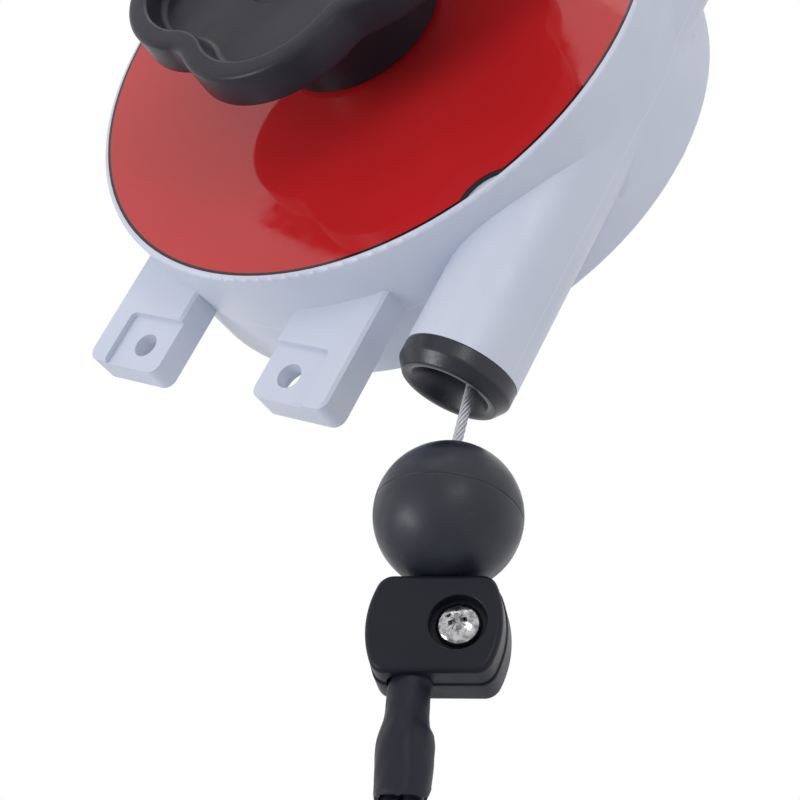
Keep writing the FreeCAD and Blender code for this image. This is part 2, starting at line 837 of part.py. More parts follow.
def pawl_spring():
    """A leaf held in the front shell that bears on the pawl's back."""
    x, z = (float(value) for value in pawl_pivot())
    wide = float(size.ratchet_width) * 0.6
    y = -float(ratchet_back) - float(size.ratchet_width) * 0.8
    top = float(size.ratchet_radius)
    strip = 0.4
    reach = float(size.pawl_length)
    rise = 2 * float(size.pawl_eye_radius)
    points = [(x - 0.79 * reach, y, top + 0.26 * rise), (x - 0.47 * reach, y, top + 0.56 * rise)]
    points += [(x - 0.05 * reach, y, top + 1.12 * rise), (x + 0.32 * reach, y, top + 1.19 * rise)]
    wire, _ = rounded_wire(points)
    first = wire.Edges[0]
    along = first.tangentAt(first.FirstParameter)
    across = Vector(0, 1, 0)
    up = along.cross(across)
    start = first.valueAt(first.FirstParameter)
    corners = [start, start + across * wide, start + across * wide + up * strip, start + up * strip]
    shape = wire.makePipeShell([Part.makePolygon(corners + corners[:1])], True, True)
    foot = y - (float(front_inner) - float(ratchet_front)) - 0.1 * float(size.ratchet_width)
    corner = Vector(x + 0.29 * reach, foot, top + 0.94 * rise)
    post = Part.makeBox(0.1 * reach, y + wide - foot, 0.5 * rise, corner)
    return plain("pawl_spring", shape.fuse(post).removeSplitter(), drum_frame)


def front_bush():
    body = new_body("front_bush")
    inner = size.arbor_radius + size.running_gap
    outer = size.arbor_radius + size.bush_wall
    front = front_depth - size.plate_thickness / 2
    flange = outer + size.bush_boss_wall
    corners = [
        (inner, -front),
        (outer, -front),
        (outer, -bush_boss_end),
        (flange, -bush_boss_end),
        (flange, -(bush_boss_end - 1)),
        (inner, -(bush_boss_end - 1)),
    ]
    turned(body, "Revolution", corners)
    return body


def rear_bush():
    body = new_body("rear_bush")
    inner = size.arbor_tail_radius + size.running_gap
    outer = size.arbor_tail_radius + size.bush_wall
    end = tail_start + size.tail_bush_length
    turned(body, "Revolution", [(inner, tail_start), (outer, tail_start), (outer, end), (inner, end)])
    return body


def knob_washer():
    y = -float(knob_floor())
    thick = float(size.washer_thickness)
    disc = Part.makeCylinder(float(size.washer_radius), thick, Vector(0, y - thick, 0), Vector(0, 1, 0))
    bore = Part.makeCylinder(float(size.knob_screw_radius) + 0.2, thick, Vector(0, y - thick, 0), Vector(0, 1, 0))
    return plain("knob_washer", disc.cut(bore), drum_frame)


def knob_screw():
    radius = float(size.knob_screw_radius)
    length = float(size.knob_screw_length)
    screw = screw_solid(radius, length, radius * 1.8, radius * 1.1, slot=1.3)
    seat = -float(knob_floor()) - float(size.washer_thickness)
    return plain("knob_screw", screw, drum_frame * Placement(Vector(0, seat, 0), Rotation()))


# --- drum, spring and rope --------------------------------------------------------------------


def groove_end():
    return size.rope_turns * size.rope_pitch + size.rope_pitch * 0.7


def drum():
    """A grooved rim on a rear web with a short hub; the spring lies inside, the cover in front."""
    body = new_body("drum")
    root = rope_circle - size.rope_radius - size.running_gap
    inside = rope_circle - size.rope_radius - size.drum_rim
    front = -size.rope_pitch * 0.7 - size.drum_flange_width
    back = groove_end() + size.drum_flange_width
    web = back - size.drum_web
    hub_start = hub_end - size.drum_hub_length
    bush = size.arbor_radius + size.bush_wall
    corners = [
        (bush, hub_start),
        (size.drum_hub_radius, hub_start),
        (size.drum_hub_radius, web),
        (inside, web),
        (inside, front),
        (drum_flange_radius, front),
        (drum_flange_radius, front + size.drum_flange_width),
        (root, front + size.drum_flange_width),
        (root, groove_end()),
        (drum_flange_radius, groove_end()),
        (drum_flange_radius, back),
        (size.drum_hub_radius + 2, back),
        (size.drum_hub_radius + 2, hub_end),
        (bush, hub_end),
    ]
    turned(body, "Revolution", corners)
    drawing = sketch(body, "XY_Plane", -0.3)
    circle(drawing, size.anchor_radius + 0.1, rope_circle, size.rope_turns * size.rope_pitch)
    pocket(body, drawing, size.anchor_length + 0.6, reverse=True)
    drawing = sketch(body, "XZ_Plane", drum_front())
    circle(drawing, size.cover_screw_radius, cover_screw_circle)
    hole = pocket(body, drawing, size.cover_screw_length)
    polar(body, [hole], 3)
    return body


def drum_front():
    return size.rope_pitch * 0.7 + size.drum_flange_width


def drum_cover():
    body = new_body("drum_cover")
    front = -drum_front() - size.cover_thickness
    back = -drum_front()
    bush = size.arbor_radius + size.bush_wall
    edge = rope_circle - size.rope_radius
    hub = -drum_front() + size.drum_hub_length / 2
    corners = [
        (bush, front),
        (edge, front),
        (edge, back),
        (size.drum_hub_radius, back),
        (size.drum_hub_radius, hub),
        (bush, hub),
    ]
    turned(body, "Revolution", corners)
    outside = drum_front() + size.cover_thickness
    drawing = sketch(body, "XZ_Plane", outside)
    circle(drawing, size.cover_screw_radius + size.running_gap, cover_screw_circle)
    hole = cut_through(body, drawing)
    drawing = sketch(body, "XZ_Plane", outside)
    circle(drawing, size.cover_screw_radius * 1.8 + size.side_gap, cover_screw_circle)
    recess = pocket(body, drawing, size.cover_thickness / 2)
    polar(body, [hole, recess], 3)
    return body


def cover_screws():
    radius = float(size.cover_screw_radius)
    head = float(size.cover_thickness) / 2
    length = head + float(size.cover_screw_length) - 0.5
    seat = -float(drum_front()) - head
    screw = screw_solid(radius, length, 1.8 * radius, head, slot=0.6)
    screw = moved(screw, Placement(Vector(float(cover_screw_circle), seat, 0), Rotation()))
    return plain("cover_screws", around_y(screw, 3), drum_frame)


def rope_anchor():
    """The ferrule that keeps the rope's inner end in the drum's rim."""
    start = Vector(float(rope_circle), float(size.rope_turns) * float(size.rope_pitch), 0.05)
    ferrule = Part.makeCylinder(float(size.anchor_radius), float(size.anchor_length), start)
    return plain("rope_anchor", ferrule, drum_frame)


def drum_bushes():
    ring_outer = float(size.arbor_radius) + float(size.bush_wall)
    ring_inner = float(size.arbor_radius) + float(size.running_gap)
    front = -float(drum_front()) - float(size.cover_thickness)
    spans = [(front, float(size.cover_thickness) + float(size.drum_hub_length) / 2)]
    spans.append((float(hub_end) - float(size.drum_hub_length), float(size.drum_hub_length)))
    rings = []
    for start, length in spans:
        outer = Part.makeCylinder(ring_outer, length, Vector(0, start, 0), Vector(0, 1, 0))
        rings.append(outer.cut(Part.makeCylinder(ring_inner, length, Vector(0, start, 0), Vector(0, 1, 0))))
    return plain("drum_bushes", Part.makeCompound(rings), drum_frame)


def spiral_spring():
    """A flat strip wound in a spiral from the arbor out to the drum's rim."""
    inner = float(size.arbor_radius) + float(size.spring_strip) / 2 + 0.3
    inside = float(rope_circle) - float(size.rope_radius) - float(size.drum_rim)
    outer = inside - float(size.spring_strip) / 2 - 0.3
    turns = float(size.spring_turns)
    strip = float(size.spring_strip) / 2
    y = -float(drum_front()) + float(size.drum_hub_length) / 2 + float(size.side_gap)
    steps = int(turns * 16)
    rails = []
    for side in (strip, -strip):
        rail = []
        for step in range(steps + 1):
            share = step / steps
            radius = inner + (outer - inner) * share + side
            angle = 2 * math.pi * turns * share
            rail.append(Vector(radius * math.cos(angle), y, radius * math.sin(angle)))
        rails.append(rail)
    curves = []
    for rail in rails:
        curve = Part.BSplineCurve()
        curve.interpolate(rail)
        curves.append(curve.toShape())
    ends = [Part.LineSegment(rails[0][place], rails[1][place]).toShape() for place in (0, -1)]
    face = Part.Face(Part.Wire(Part.__sortEdges__(curves + ends)))
    return plain("spiral_spring", face.extrude(Vector(0, float(size.spring_width), 0)), drum_frame)


def wound_rope():
    """The rope's turns in the drum's grooves, which end where the straight run leaves the drum."""
    pitch = float(size.rope_pitch)
    turns = float(size.rope_turns)
    coil = Part.makeHelix(pitch, pitch * turns, float(rope_circle), 0, True)
    wire = Part.Wire(coil.Edges)
    shape = tube(wire, float(size.rope_radius))
    turn = Placement(Vector(), Rotation(Vector(1, 0, 0), -90))
    return plain("wound_rope", moved(shape, turn), drum_frame)


def rope_lead():
    top = Vector(0, 0, -0.05)
    length = float(throat_drop) - float(size.rope_radius) - 0.15
    run = Part.makeCylinder(float(size.rope_radius), length, top, Vector(0, 0, -1))
    return plain("rope_lead", run, line_frame)


def nozzle_bush():
    """Spigot in the nozzle, band and chamfer outside, and a trumpet that lets the rope lean."""
    body = new_body("nozzle_bush")
    end = nozzle_length
    band = end + size.bush_band
    lip = band + size.bush_taper
    spigot = size.nozzle_bore_radius - size.running_gap
    corners = [
        (size.throat_radius, -bush_top),
        (size.throat_radius, -throat_drop),
        (size.bush_bell_radius, -(lip - size.bush_bell_depth)),
        (size.bush_mouth_radius, -lip),
        (size.bush_lip_radius, -lip),
        (size.nozzle_radius, -band),
        (size.nozzle_radius, -end),
        (spigot, -end),
        (spigot, -bush_top),
    ]
    turned(body, "Revolution", corners, plane="XZ_Plane")
    return body


def rope_throat():
    """The rope's short length in the throat, about whose round top the rope swings."""
    start = Vector(0, 0, float(size.throat_depth))
    end = Vector(rope_route[0][0], 0, rope_route[0][1])
    radius = float(size.rope_radius)
    run = Part.makeCylinder(radius, (end - start).Length - 0.05, start, end - start)
    return plain("rope_throat", run.fuse(Part.makeSphere(radius, start)).removeSplitter(), nozzle_frame)


def rope():
    points = [(x, 0, z) for x, z in rope_route]
    wire, radii = rounded_wire(points)
    print("rope bends, mm:", [round(radius, 1) for radius in radii], "length", round(wire.Length, 2))
    return plain("rope", tube(wire, float(size.rope_radius)), nozzle_frame)


# --- rope end ---------------------------------------------------------------------------------


def stop_ball():
    ball = doc.addObject("Part::Sphere", "BallRound")
    bind(ball, "Radius", size.ball_radius)
    bore = doc.addObject("Part::Cylinder", "BallBore")
    bind(bore, "Radius", size.ball_bore_radius)
    bind(bore, "Height", size.ball_radius * 3)
    bore.Placement = Placement(Vector(-1.8, 0, -float(size.ball_radius) * 1.5), Rotation())
    cut = doc.addObject("Part::Cut", "stop_ball")
    cut.Base = ball
    cut.Tool = bore
    cut.Label = "stop_ball"
    lean = Rotation(Vector(0, 1, 0), -16)
    cut.Placement = nozzle_frame * Placement(Vector(ball_place[0], 0, ball_place[1]), lean)
    return cut


def clamp_outline(drawing):
    """Flat top and bottom, and sides that swell to the full width."""
    half = size.clamp_height / 2
    middle = size.clamp_rope_offset
    side = size.clamp_end_width / 2
    swell = (size.clamp_width - size.clamp_end_width) / 2
    radius = (half * half + swell * swell) / (swell * 2)
    corners = [(middle - side, -half), (middle + side, -half), (middle + side, half), (middle - side, half)]
    outline(drawing, corners, bulges={1: radius, 3: radius})


def clamp_half(label, depth, rounding, front):
    body = new_body(label)
    drawing = sketch(body, "XZ_Plane")
    clamp_outline(drawing)
    pad(body, drawing, depth, reverse=not front)
    outer = -float(depth) if front else float(depth)
    dress(body, "Fillet", rounding, lambda edge: all(abs(v.Point.y - outer) < 1e-4 for v in edge.Vertexes))
    half = size.clamp_height / 2
    past = half + size.clamp_edge
    bore = size.rope_radius + size.running_gap
    turned(body, "Groove", [(0, -past), (bore, -past), (bore, past), (0, past)], plane="XZ_Plane")
    seat = size.sleeve_neck_radius + size.running_gap
    top = -half + size.sleeve_seat
    turned(body, "Groove", [(0, -past), (seat, -past), (seat, top), (0, top)], plane="XZ_Plane")
    screw_x = size.clamp_rope_offset + size.clamp_screw_offset
    drawing = sketch(body, "XZ_Plane")
    circle(drawing, size.clamp_screw_radius + size.running_gap, screw_x)
    pocket(body, drawing, depth, reverse=front)
    return body, screw_x


def clamp_front():
    body, screw_x = clamp_half("clamp_front", size.clamp_half, size.clamp_edge, True)
    drawing = sketch(body, "XZ_Plane", size.clamp_half)
    circle(drawing, size.clamp_recess_radius, screw_x)
    pocket(body, drawing, size.clamp_recess_depth)
    return body


def hexagon(drawing, radius, x):
    outline(drawing, [(x + radius * cosine(60 * side), radius * sine(60 * side)) for side in range(6)])


def clamp_rear():
    body, screw_x = clamp_half("clamp_rear", size.clamp_rear_half, size.clamp_rear_edge, False)
    drawing = sketch(body, "XZ_Plane", -size.clamp_rear_half)
    hexagon(drawing, size.clamp_nut_radius + size.running_gap, screw_x)
    pocket(body, drawing, size.clamp_nut_height + 0.2, reverse=True)
    return body


def clamp_screw():
    radius = float(size.clamp_screw_radius)
    seat = -float(size.clamp_half) + float(size.clamp_recess_depth)
    length = float(size.clamp_rear_half) - seat - 0.3
    screw = screw_solid(radius, length, float(size.clamp_head_radius), 2.2, slot=1.0)
    x = float(size.clamp_rope_offset) + float(size.clamp_screw_offset)
    return plain("clamp_screw", screw, clamp_frame * Placement(Vector(x, seat, 0), Rotation()))


def clamp_nut():
    body = new_body("clamp_nut")
    screw_x = size.clamp_rope_offset + size.clamp_screw_offset
    outer = -size.clamp_rear_half + 0.2
    drawing = sketch(body, "XZ_Plane", outer)
    hexagon(drawing, size.clamp_nut_radius, screw_x)
    pad(body, drawing, size.clamp_nut_height)
    drawing = sketch(body, "XZ_Plane", outer)
    circle(drawing, size.clamp_screw_radius + size.running_gap, screw_x)
    pocket(body, drawing, size.clamp_nut_height, reverse=True)
    return body


def sleeve_top():
    return -size.clamp_height / 2 + size.sleeve_seat


def sleeve_bottom():
    return -size.clamp_height / 2 - size.sleeve_length


def rope_sleeve():
    """A soft tube that swells over the ferrule and the loop's two legs."""
    body = new_body("rope_sleeve")
    neck = size.sleeve_neck_radius
    wide = size.sleeve_radius
    inner_neck = size.ferrule_radius + size.running_gap
    inner_wide = wide - size.sleeve_wall
    swell = sleeve_top() - size.ferrule_length
    corners = [
        (inner_neck, sleeve_top()),
        (inner_neck, swell + 1),
        (inner_wide, swell),
        (inner_wide, sleeve_bottom()),
        (wide, sleeve_bottom()),
        (wide, swell),
        (neck, sleeve_top() - size.ferrule_length / 2),
        (neck, sleeve_top()),
    ]
    turned(body, "Revolution", corners, plane="XZ_Plane")
    return body


def loop_ferrule():
    body = new_body("loop_ferrule")
    top = sleeve_top()
    bottom = top - size.ferrule_length
    bore = size.rope_radius
    turned(
        body,
        "Revolution",
        [(bore, top), (bore, bottom + 2), (0, bottom + 2), (0, bottom), (size.ferrule_radius, bottom), (size.ferrule_radius, top)],
        plane="XZ_Plane",
    )
    return body


def rope_tail():
    """The rope's length gripped by the clamp and the ferrule."""
    start = clamp_frame.inverse().multVec(nozzle_frame.multVec(Vector(rope_route[-1][0], 0, rope_route[-1][1])))
    end = float(sleeve_top()) - float(size.ferrule_length) + 2
    run = Part.makeCylinder(float(size.rope_radius), start.z - 0.2 - end, Vector(0, 0, end))
    return plain("rope_tail", run, clamp_frame)


def loop_bottom():
    return float(sleeve_bottom()) - float(size.loop_drop)


def rope_loop():
    """The sheathed loop: two legs from the ferrule that open into a round bottom."""
    leg = float(size.loop_tube_radius) + 0.1
    wide = float(size.loop_inner_radius) + float(size.loop_tube_radius)
    start = float(sleeve_top()) - float(size.ferrule_length)
    bend = float(sleeve_bottom()) - 2
    side = loop_bottom() + 1.5 * wide
    half = [(leg, 0, start), (leg, 0, bend), (wide, 0, side), (wide, 0, loop_bottom())]
    points = half + [(-x, y, z) for x, y, z in reversed(half)]
    bends = [1.5 * wide, 1.5 * wide, wide]
    wire, _ = rounded_wire(points, bends + bends[::-1])
    return plain("rope_loop", tube(wire, float(size.loop_tube_radius)), clamp_frame)


# --- hooks ------------------------------------------------------------------------------------


class HookSizes:
    """Sizes of one swivel hook, in a frame whose Z runs from its shank into its bowl."""

    def __init__(self, kind):
        for name in ("wire_radius", "bowl_radius", "shank_radius", "collar_radius", "collar_height",
                     "flange_radius", "flange_width", "cap_wall", "pin_radius"):
            setattr(self, name, float(getattr(size, f"{kind}_{name}")))
        self.bowl_height = self.collar_height + float(getattr(size, f"{kind}_rise"))
        self.pivot_height = self.collar_height + self.wire_radius * 1.35


def hook(label, kind, place):
    """Flange, shank, collar and a bent bar whose bowl is centred on the shank's axis."""
    made = HookSizes(kind)
    below = -made.cap_wall - float(size.side_gap)
    shape = Part.makeCylinder(made.flange_radius, made.flange_width, Vector(0, 0, below - made.flange_width))
    shape = shape.fuse(Part.makeCylinder(made.shank_radius, -below, Vector(0, 0, below)))
    collar = Part.makeCylinder(made.collar_radius, made.collar_height - 0.3, Vector(0, 0, 0.3))
    rims = [edge for edge in collar.Edges if isinstance(edge.Curve, Part.Circle)]
    shape = shape.fuse(collar.makeFillet(0.25 * made.collar_height, rims))
    shape = shape.fuse(Part.makeCylinder(made.shank_radius, 0.3, Vector(0, 0, 0)))
    bend = made.bowl_radius * 0.33
    neck = [(0, 0, made.collar_height - 1), (0, 0, made.collar_height + bend)]
    neck += [(-made.bowl_radius, 0, made.bowl_height - bend), (-made.bowl_radius, 0, made.bowl_height)]
    bend_radius = made.bowl_radius * 0.6
    wire, _ = rounded_wire(neck, [bend_radius, bend_radius])
    centre = Vector(0, 0, made.bowl_height)
    tip = math.radians(float(size.tip_angle))
    end = centre + Vector(math.cos(tip), 0, -math.sin(tip)) * made.bowl_radius
    top = centre + Vector(0, 0, made.bowl_radius)
    arc = Part.Arc(centre - Vector(made.bowl_radius, 0, 0), top, end).toShape()
    shape = shape.fuse(tube(Part.Wire(wire.Edges + [arc]), made.wire_radius))
    shape = shape.fuse(Part.makeSphere(made.wire_radius, end))
    width = 3 * made.wire_radius
    bore_start = Vector(0, -width, made.pivot_height)
    shape = shape.cut(Part.makeCylinder(made.pin_radius, 2 * width, bore_start, Vector(0, 1, 0)))
    return plain(label, shape.removeSplitter(), place)


def latch_line(made):
    """Where the latch starts, at its pin, and where it ends, inside the hook's tip."""
    ear = made.pin_radius + float(size.latch_sheet)
    reach = made.bowl_radius - made.wire_radius - float(size.side_gap) - ear
    close = math.radians(float(size.tip_angle) * 0.6)
    end = Vector(reach * math.cos(close), 0, made.bowl_height - reach * math.sin(close))
    return Vector(0, 0, made.pivot_height), end


def latch(label, kind, place):
    """Two ears on the pin and a tongue that closes the hook's mouth from inside."""
    made = HookSizes(kind)
    start, end = latch_line(made)
    along = end - start
    sheet = float(size.latch_sheet)
    gap = float(size.side_gap)
    inside = made.wire_radius + gap
    ear = made.pin_radius + sheet
    turn = Rotation(Vector(1, 0, 0), along)
    ear_length = inside + ear
    shape = None
    for y in (-inside - sheet, inside):
        plate = Part.makeCylinder(ear, sheet, Vector(0, y, 0), Vector(0, 1, 0))
        plate = plate.fuse(Part.makeBox(ear_length, sheet, 2 * ear, Vector(0, y, -ear)))
        plate = plate.cut(Part.makeCylinder(made.pin_radius + float(size.running_gap), sheet, Vector(0, y, 0), Vector(0, 1, 0)))
        shape = plate if shape is None else shape.fuse(plate)
    wide = 2 * (inside + sheet)
    tongue = Part.makeBox(along.Length - inside - gap, wide, sheet, Vector(inside + gap, -wide / 2, -ear))
    shape = shape.fuse(tongue).removeSplitter()
    shape = moved(shape, Placement(start, turn))
    return plain(label, shape, place)


def latch_pin(label, kind, place):
    made = HookSizes(kind)
    start, _ = latch_line(made)
    half = made.wire_radius + float(size.side_gap) + float(size.latch_sheet) + 0.5
    pin = Part.makeCylinder(made.pin_radius, 2 * half, start - Vector(0, half, 0), Vector(0, 1, 0))
    return plain(label, pin, place)


def swivel_eye(place):
    """The ring round the rope loop, and the boss that holds the snap hook's flange."""
    made = HookSizes("snap")
    ring = float(size.eye_ring_radius)
    bar = float(size.eye_wire_radius)
    gap = float(size.side_gap)
    chamber = made.flange_width + 2 * gap
    boss_height = made.cap_wall + chamber + made.cap_wall
    boss = Part.makeCylinder(float(size.eye_boss_radius), boss_height, Vector(0, 0, -boss_height))
    boss = boss.makeFillet(0.8, [edge for edge in boss.Edges if isinstance(edge.Curve, Part.Circle)])
    centre = Vector(0, 0, -boss_height - ring + 0.3)
    shape = boss.fuse(Part.makeTorus(ring, bar, centre, Vector(1, 0, 0)))
    shape = shape.cut(Part.makeCylinder(made.flange_radius + gap, chamber, Vector(0, 0, -made.cap_wall - chamber)))
    shape = shape.cut(Part.makeCylinder(made.shank_radius + float(size.running_gap), made.cap_wall + 1, Vector(0, 0, -made.cap_wall - 0.5)))
    return plain("swivel_eye", shape.removeSplitter(), place), centre


def hooks():
    made = []
    top = HookSizes("hook")
    top_place = Placement(Vector(0, 0, -top.bowl_height), Rotation())
    made.append(hook("top_hook", "hook", top_place))
    made.append(latch("hook_latch", "hook", top_place))
    made.append(latch_pin("hook_latch_pin", "hook", top_place))
    ring_drop = float(size.loop_tube_radius) + float(size.side_gap) + float(size.eye_wire_radius)
    upright = clamp_frame * Placement(Vector(0, 0, loop_bottom()), Rotation(Vector(1, 0, 0), 180))
    eye, centre = swivel_eye(Placement())
    lift = centre.z - float(size.eye_ring_radius) + ring_drop
    place = upright * Placement(Vector(0, 0, -lift), Rotation())
    eye.Placement = place
    made.append(eye)
    made.append(hook("snap_hook", "snap", place))
    made.append(latch("snap_gate", "snap", place))
    made.append(latch_pin("snap_gate_pin", "snap", place))
    return made


# --- build ------------------------------------------------------------------------------------

parts = []
for make in (
    front_housing, rear_housing, face_plate, knob, arbor, ratchet_wheel, pawl, front_bush,
    rear_bush, drum, drum_cover,
):
    item = make()
    item.Placement = drum_frame
    parts.append(item)
item = nozzle_bush()
item.Placement = line_frame
parts.append(item)
for make in (clamp_front, clamp_rear, clamp_nut, rope_sleeve, loop_ferrule):
    item = make()
    item.Placement = clamp_frame
    parts.append(item)
for make in (
    housing_screws, pawl_pin, pawl_spring, knob_washer, knob_screw, drum_bushes, spiral_spring,
    wound_rope, rope_anchor, cover_screws, rope_lead, rope_throat, rope, stop_ball, clamp_screw, rope_tail, rope_loop,
):
    parts.append(make())
parts += hooks()

doc.recompute()
for item in doc.Objects:
    if "Invalid" in item.State or "Error" in item.State:
        raise SystemExit(f"{item.Label} failed: {item.State}")
for item in parts:
    if item.Shape.isNull() or not item.Shape.isValid():
        raise SystemExit(f"{item.Label} has no valid shape")

os.makedirs("parts", exist_ok=True)
for item in parts:
    item.Shape.exportStep(f"parts/{item.Label}.step")
print(len(parts), "sub-parts")
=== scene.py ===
import json
import math

import bmesh
import bpy
from mathutils import Matrix, Vector


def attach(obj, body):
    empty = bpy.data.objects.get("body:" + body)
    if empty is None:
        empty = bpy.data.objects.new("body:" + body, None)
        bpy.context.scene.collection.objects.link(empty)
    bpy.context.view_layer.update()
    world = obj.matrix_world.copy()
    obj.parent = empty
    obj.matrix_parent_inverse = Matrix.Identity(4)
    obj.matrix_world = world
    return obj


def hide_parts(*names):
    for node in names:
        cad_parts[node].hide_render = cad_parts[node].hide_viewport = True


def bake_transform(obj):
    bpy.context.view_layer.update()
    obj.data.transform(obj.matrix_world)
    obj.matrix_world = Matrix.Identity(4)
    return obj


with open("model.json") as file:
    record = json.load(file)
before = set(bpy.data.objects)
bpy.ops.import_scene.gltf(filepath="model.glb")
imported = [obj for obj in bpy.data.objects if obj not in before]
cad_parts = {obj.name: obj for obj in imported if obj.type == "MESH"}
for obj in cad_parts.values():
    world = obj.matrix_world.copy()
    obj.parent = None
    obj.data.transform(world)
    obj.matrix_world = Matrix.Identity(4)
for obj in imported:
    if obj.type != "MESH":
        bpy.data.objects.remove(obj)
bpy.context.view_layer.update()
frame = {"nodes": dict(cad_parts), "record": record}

mm = 0.001
drumAxis = Vector((-53.6, 0, -88)) * mm  # the drum and the knob turn about a line along Y through here
nozzleEnd = Vector((0, 0, -154.3)) * mm  # middle of the nozzle's end, on the line of pull
plateFace = -18.3 * mm  # the red sheet's outer face
clampTurn = Matrix.Rotation(math.radians(-24.6), 4, "Y") @ Matrix.Rotation(math.radians(18), 4, "Z")
clampPlace = Matrix.Translation(nozzleEnd + Vector((18.94, 0, -51.74)) * mm) @ clampTurn  # front is local -Y

# Studio: a pale room, three soft lamps and a dark flag that the glossy sheet mirrors

studio = {
    "camera": (192.85, -229.53, -268.65),
    "right": (0.76556, 0.46576, 0.44383),
    "down": (0.15942, 0.53101, -0.83224),
    "forward": (-0.62329, 0.70789, 0.33227),
    "lens": 76.7,
    "shift": (-0.0099, -0.0133),
    "floorHeight": -1.7,  # below the hook when the rope is pulled right out
    "floorHalf": 3,
    "worldLight": 0.74,
    "lamps": (  # place, target, width, height, watts
        ((-0.26, -0.47, -0.57), (0, 0, -0.17), 0.26, 0.2, 1.55),
        ((0.5, -0.76, 0.24), (0, 0, -0.17), 0.3, 0.36, 1.15),
        ((-0.6, -0.5, 0.9), (0, 0, -0.1), 0.8, 0.8, 1.6),
    ),
    "flagDistance": 600,
    "flag": (
        (-716, 214), (-616, 190), (-420, 110), (-420, 310),
        (-495, 363), (-531, 408), (-600, 430), (-700, 330),
    ),
}


def makeCamera():
    scene = bpy.context.scene
    scene.view_settings.view_transform = "Standard"
    camera = bpy.data.objects.new("camera", bpy.data.cameras.new("camera"))
    scene.collection.objects.link(camera)
    axes = [Vector(studio["right"]), -Vector(studio["down"]), -Vector(studio["forward"])]
    turn = Matrix(axes).transposed().to_4x4()
    camera.matrix_world = Matrix.Translation(Vector(studio["camera"]) * mm) @ turn
    camera.data.lens = studio["lens"]
    camera.data.sensor_width = 36
    camera.data.shift_x, camera.data.shift_y = studio["shift"]
    camera.data.clip_start = 0.01
    scene.camera = camera
    print("camera ready")


def makeWorld():
    world = bpy.data.worlds.new("paleRoom")
    bpy.context.scene.world = world
    world.use_nodes = True
    tree = world.node_tree
    tree.nodes.clear()
    output = tree.nodes.new("ShaderNodeOutputWorld")
    mix = tree.nodes.new("ShaderNodeMixShader")
    path = tree.nodes.new("ShaderNodeLightPath")
    seen = tree.nodes.new("ShaderNodeBackground")
    lit = tree.nodes.new("ShaderNodeBackground")
    seen.inputs["Color"].default_value = (1, 1, 1, 1)
    seen.inputs["Strength"].default_value = 1
    lit.inputs["Color"].default_value = (0.97, 0.985, 1, 1)
    lit.inputs["Strength"].default_value = studio["worldLight"]
    last = path.outputs["Is Camera Ray"]
    for other in ("Is Glossy Ray", "Is Transmission Ray"):
        either = tree.nodes.new("ShaderNodeMath")
        either.operation = "MAXIMUM"
        tree.links.new(last, either.inputs[0])
        tree.links.new(path.outputs[other], either.inputs[1])
        last = either.outputs[0]
    tree.links.new(last, mix.inputs[0])
    tree.links.new(lit.outputs[0], mix.inputs[1])
    tree.links.new(seen.outputs[0], mix.inputs[2])
    tree.links.new(mix.outputs[0], output.inputs[0])


def makeLamps():
    for number, (place, target, width, height, watts) in enumerate(studio["lamps"]):
        lamp = bpy.data.lights.new(f"softbox{number}", "AREA")
        lamp.shape = "RECTANGLE"
        lamp.size, lamp.size_y, lamp.energy = width, height, watts
        holder = bpy.data.objects.new(f"softbox{number}", lamp)
        bpy.context.scene.collection.objects.link(holder)
        aim = Vector(target) - Vector(place)
        holder.matrix_world = Matrix.Translation(place) @ aim.to_track_quat("-Z", "Y").to_matrix().to_4x4()


def stageSheet(name, bm, color, roughness):
    mesh = bpy.data.meshes.new(name)
    bm.to_mesh(mesh)
    bm.free()
    sheet = bpy.data.objects.new(name, mesh)
    bpy.context.scene.collection.objects.link(sheet)
    mesh.materials.append(newMaterial(name + "Paint", color, roughness)[0])
    return sheet


def makeFloorAndFlag():
    bm = bmesh.new()
    bmesh.ops.create_grid(bm, x_segments=1, y_segments=1, size=studio["floorHalf"])
    bmesh.ops.translate(bm, vec=(0, 0, studio["floorHeight"]), verts=bm.verts)
    stageSheet("floor", bm, (0.85, 0.86, 0.87), 0.9)
    bm = bmesh.new()
    corners = [bm.verts.new(Vector((x, -studio["flagDistance"], z)) * mm) for x, z in studio["flag"]]
    bmesh.ops.contextual_create(bm, geom=corners)
    flag = stageSheet("darkFlag", bm, (0.002, 0.002, 0.002), 1.0)
    flag.visible_camera = flag.visible_diffuse = flag.visible_shadow = flag.visible_transmission = False
    print("studio ready")


# Finishes: each reads Object coordinates, with noise at the scale of the real surface


def newMaterial(name, color, roughness, metallic=0.0, specular=0.5):
    material = bpy.data.materials.new(name)
    material.use_nodes = True
    shader = material.node_tree.nodes["Principled BSDF"]
    shader.inputs["Base Color"].default_value = (*color, 1)
    shader.inputs["Roughness"].default_value = roughness
    shader.inputs["Metallic"].default_value = metallic
    shader.inputs["Specular IOR Level"].default_value = specular
    return material, material.node_tree, shader


def objectPlace(tree, location=(0, 0, 0), turn=(0, 0, 0), scale=(1, 1, 1)):  # Object coordinates, mapped
    coords = tree.nodes.new("ShaderNodeTexCoord")
    mapping = tree.nodes.new("ShaderNodeMapping")
    mapping.inputs["Location"].default_value = location
    mapping.inputs["Rotation"].default_value = turn
    mapping.inputs["Scale"].default_value = scale
    tree.links.new(coords.outputs["Object"], mapping.inputs["Vector"])
    return mapping.outputs["Vector"]


def noiseOf(tree, scale, detail=3, source=None, rough=0.5):
    noise = tree.nodes.new("ShaderNodeTexNoise")
    noise.inputs["Scale"].default_value = scale
    noise.inputs["Detail"].default_value = detail
    noise.inputs["Roughness"].default_value = rough
    tree.links.new(source or objectPlace(tree), noise.inputs["Vector"])
    return noise.outputs["Fac"]


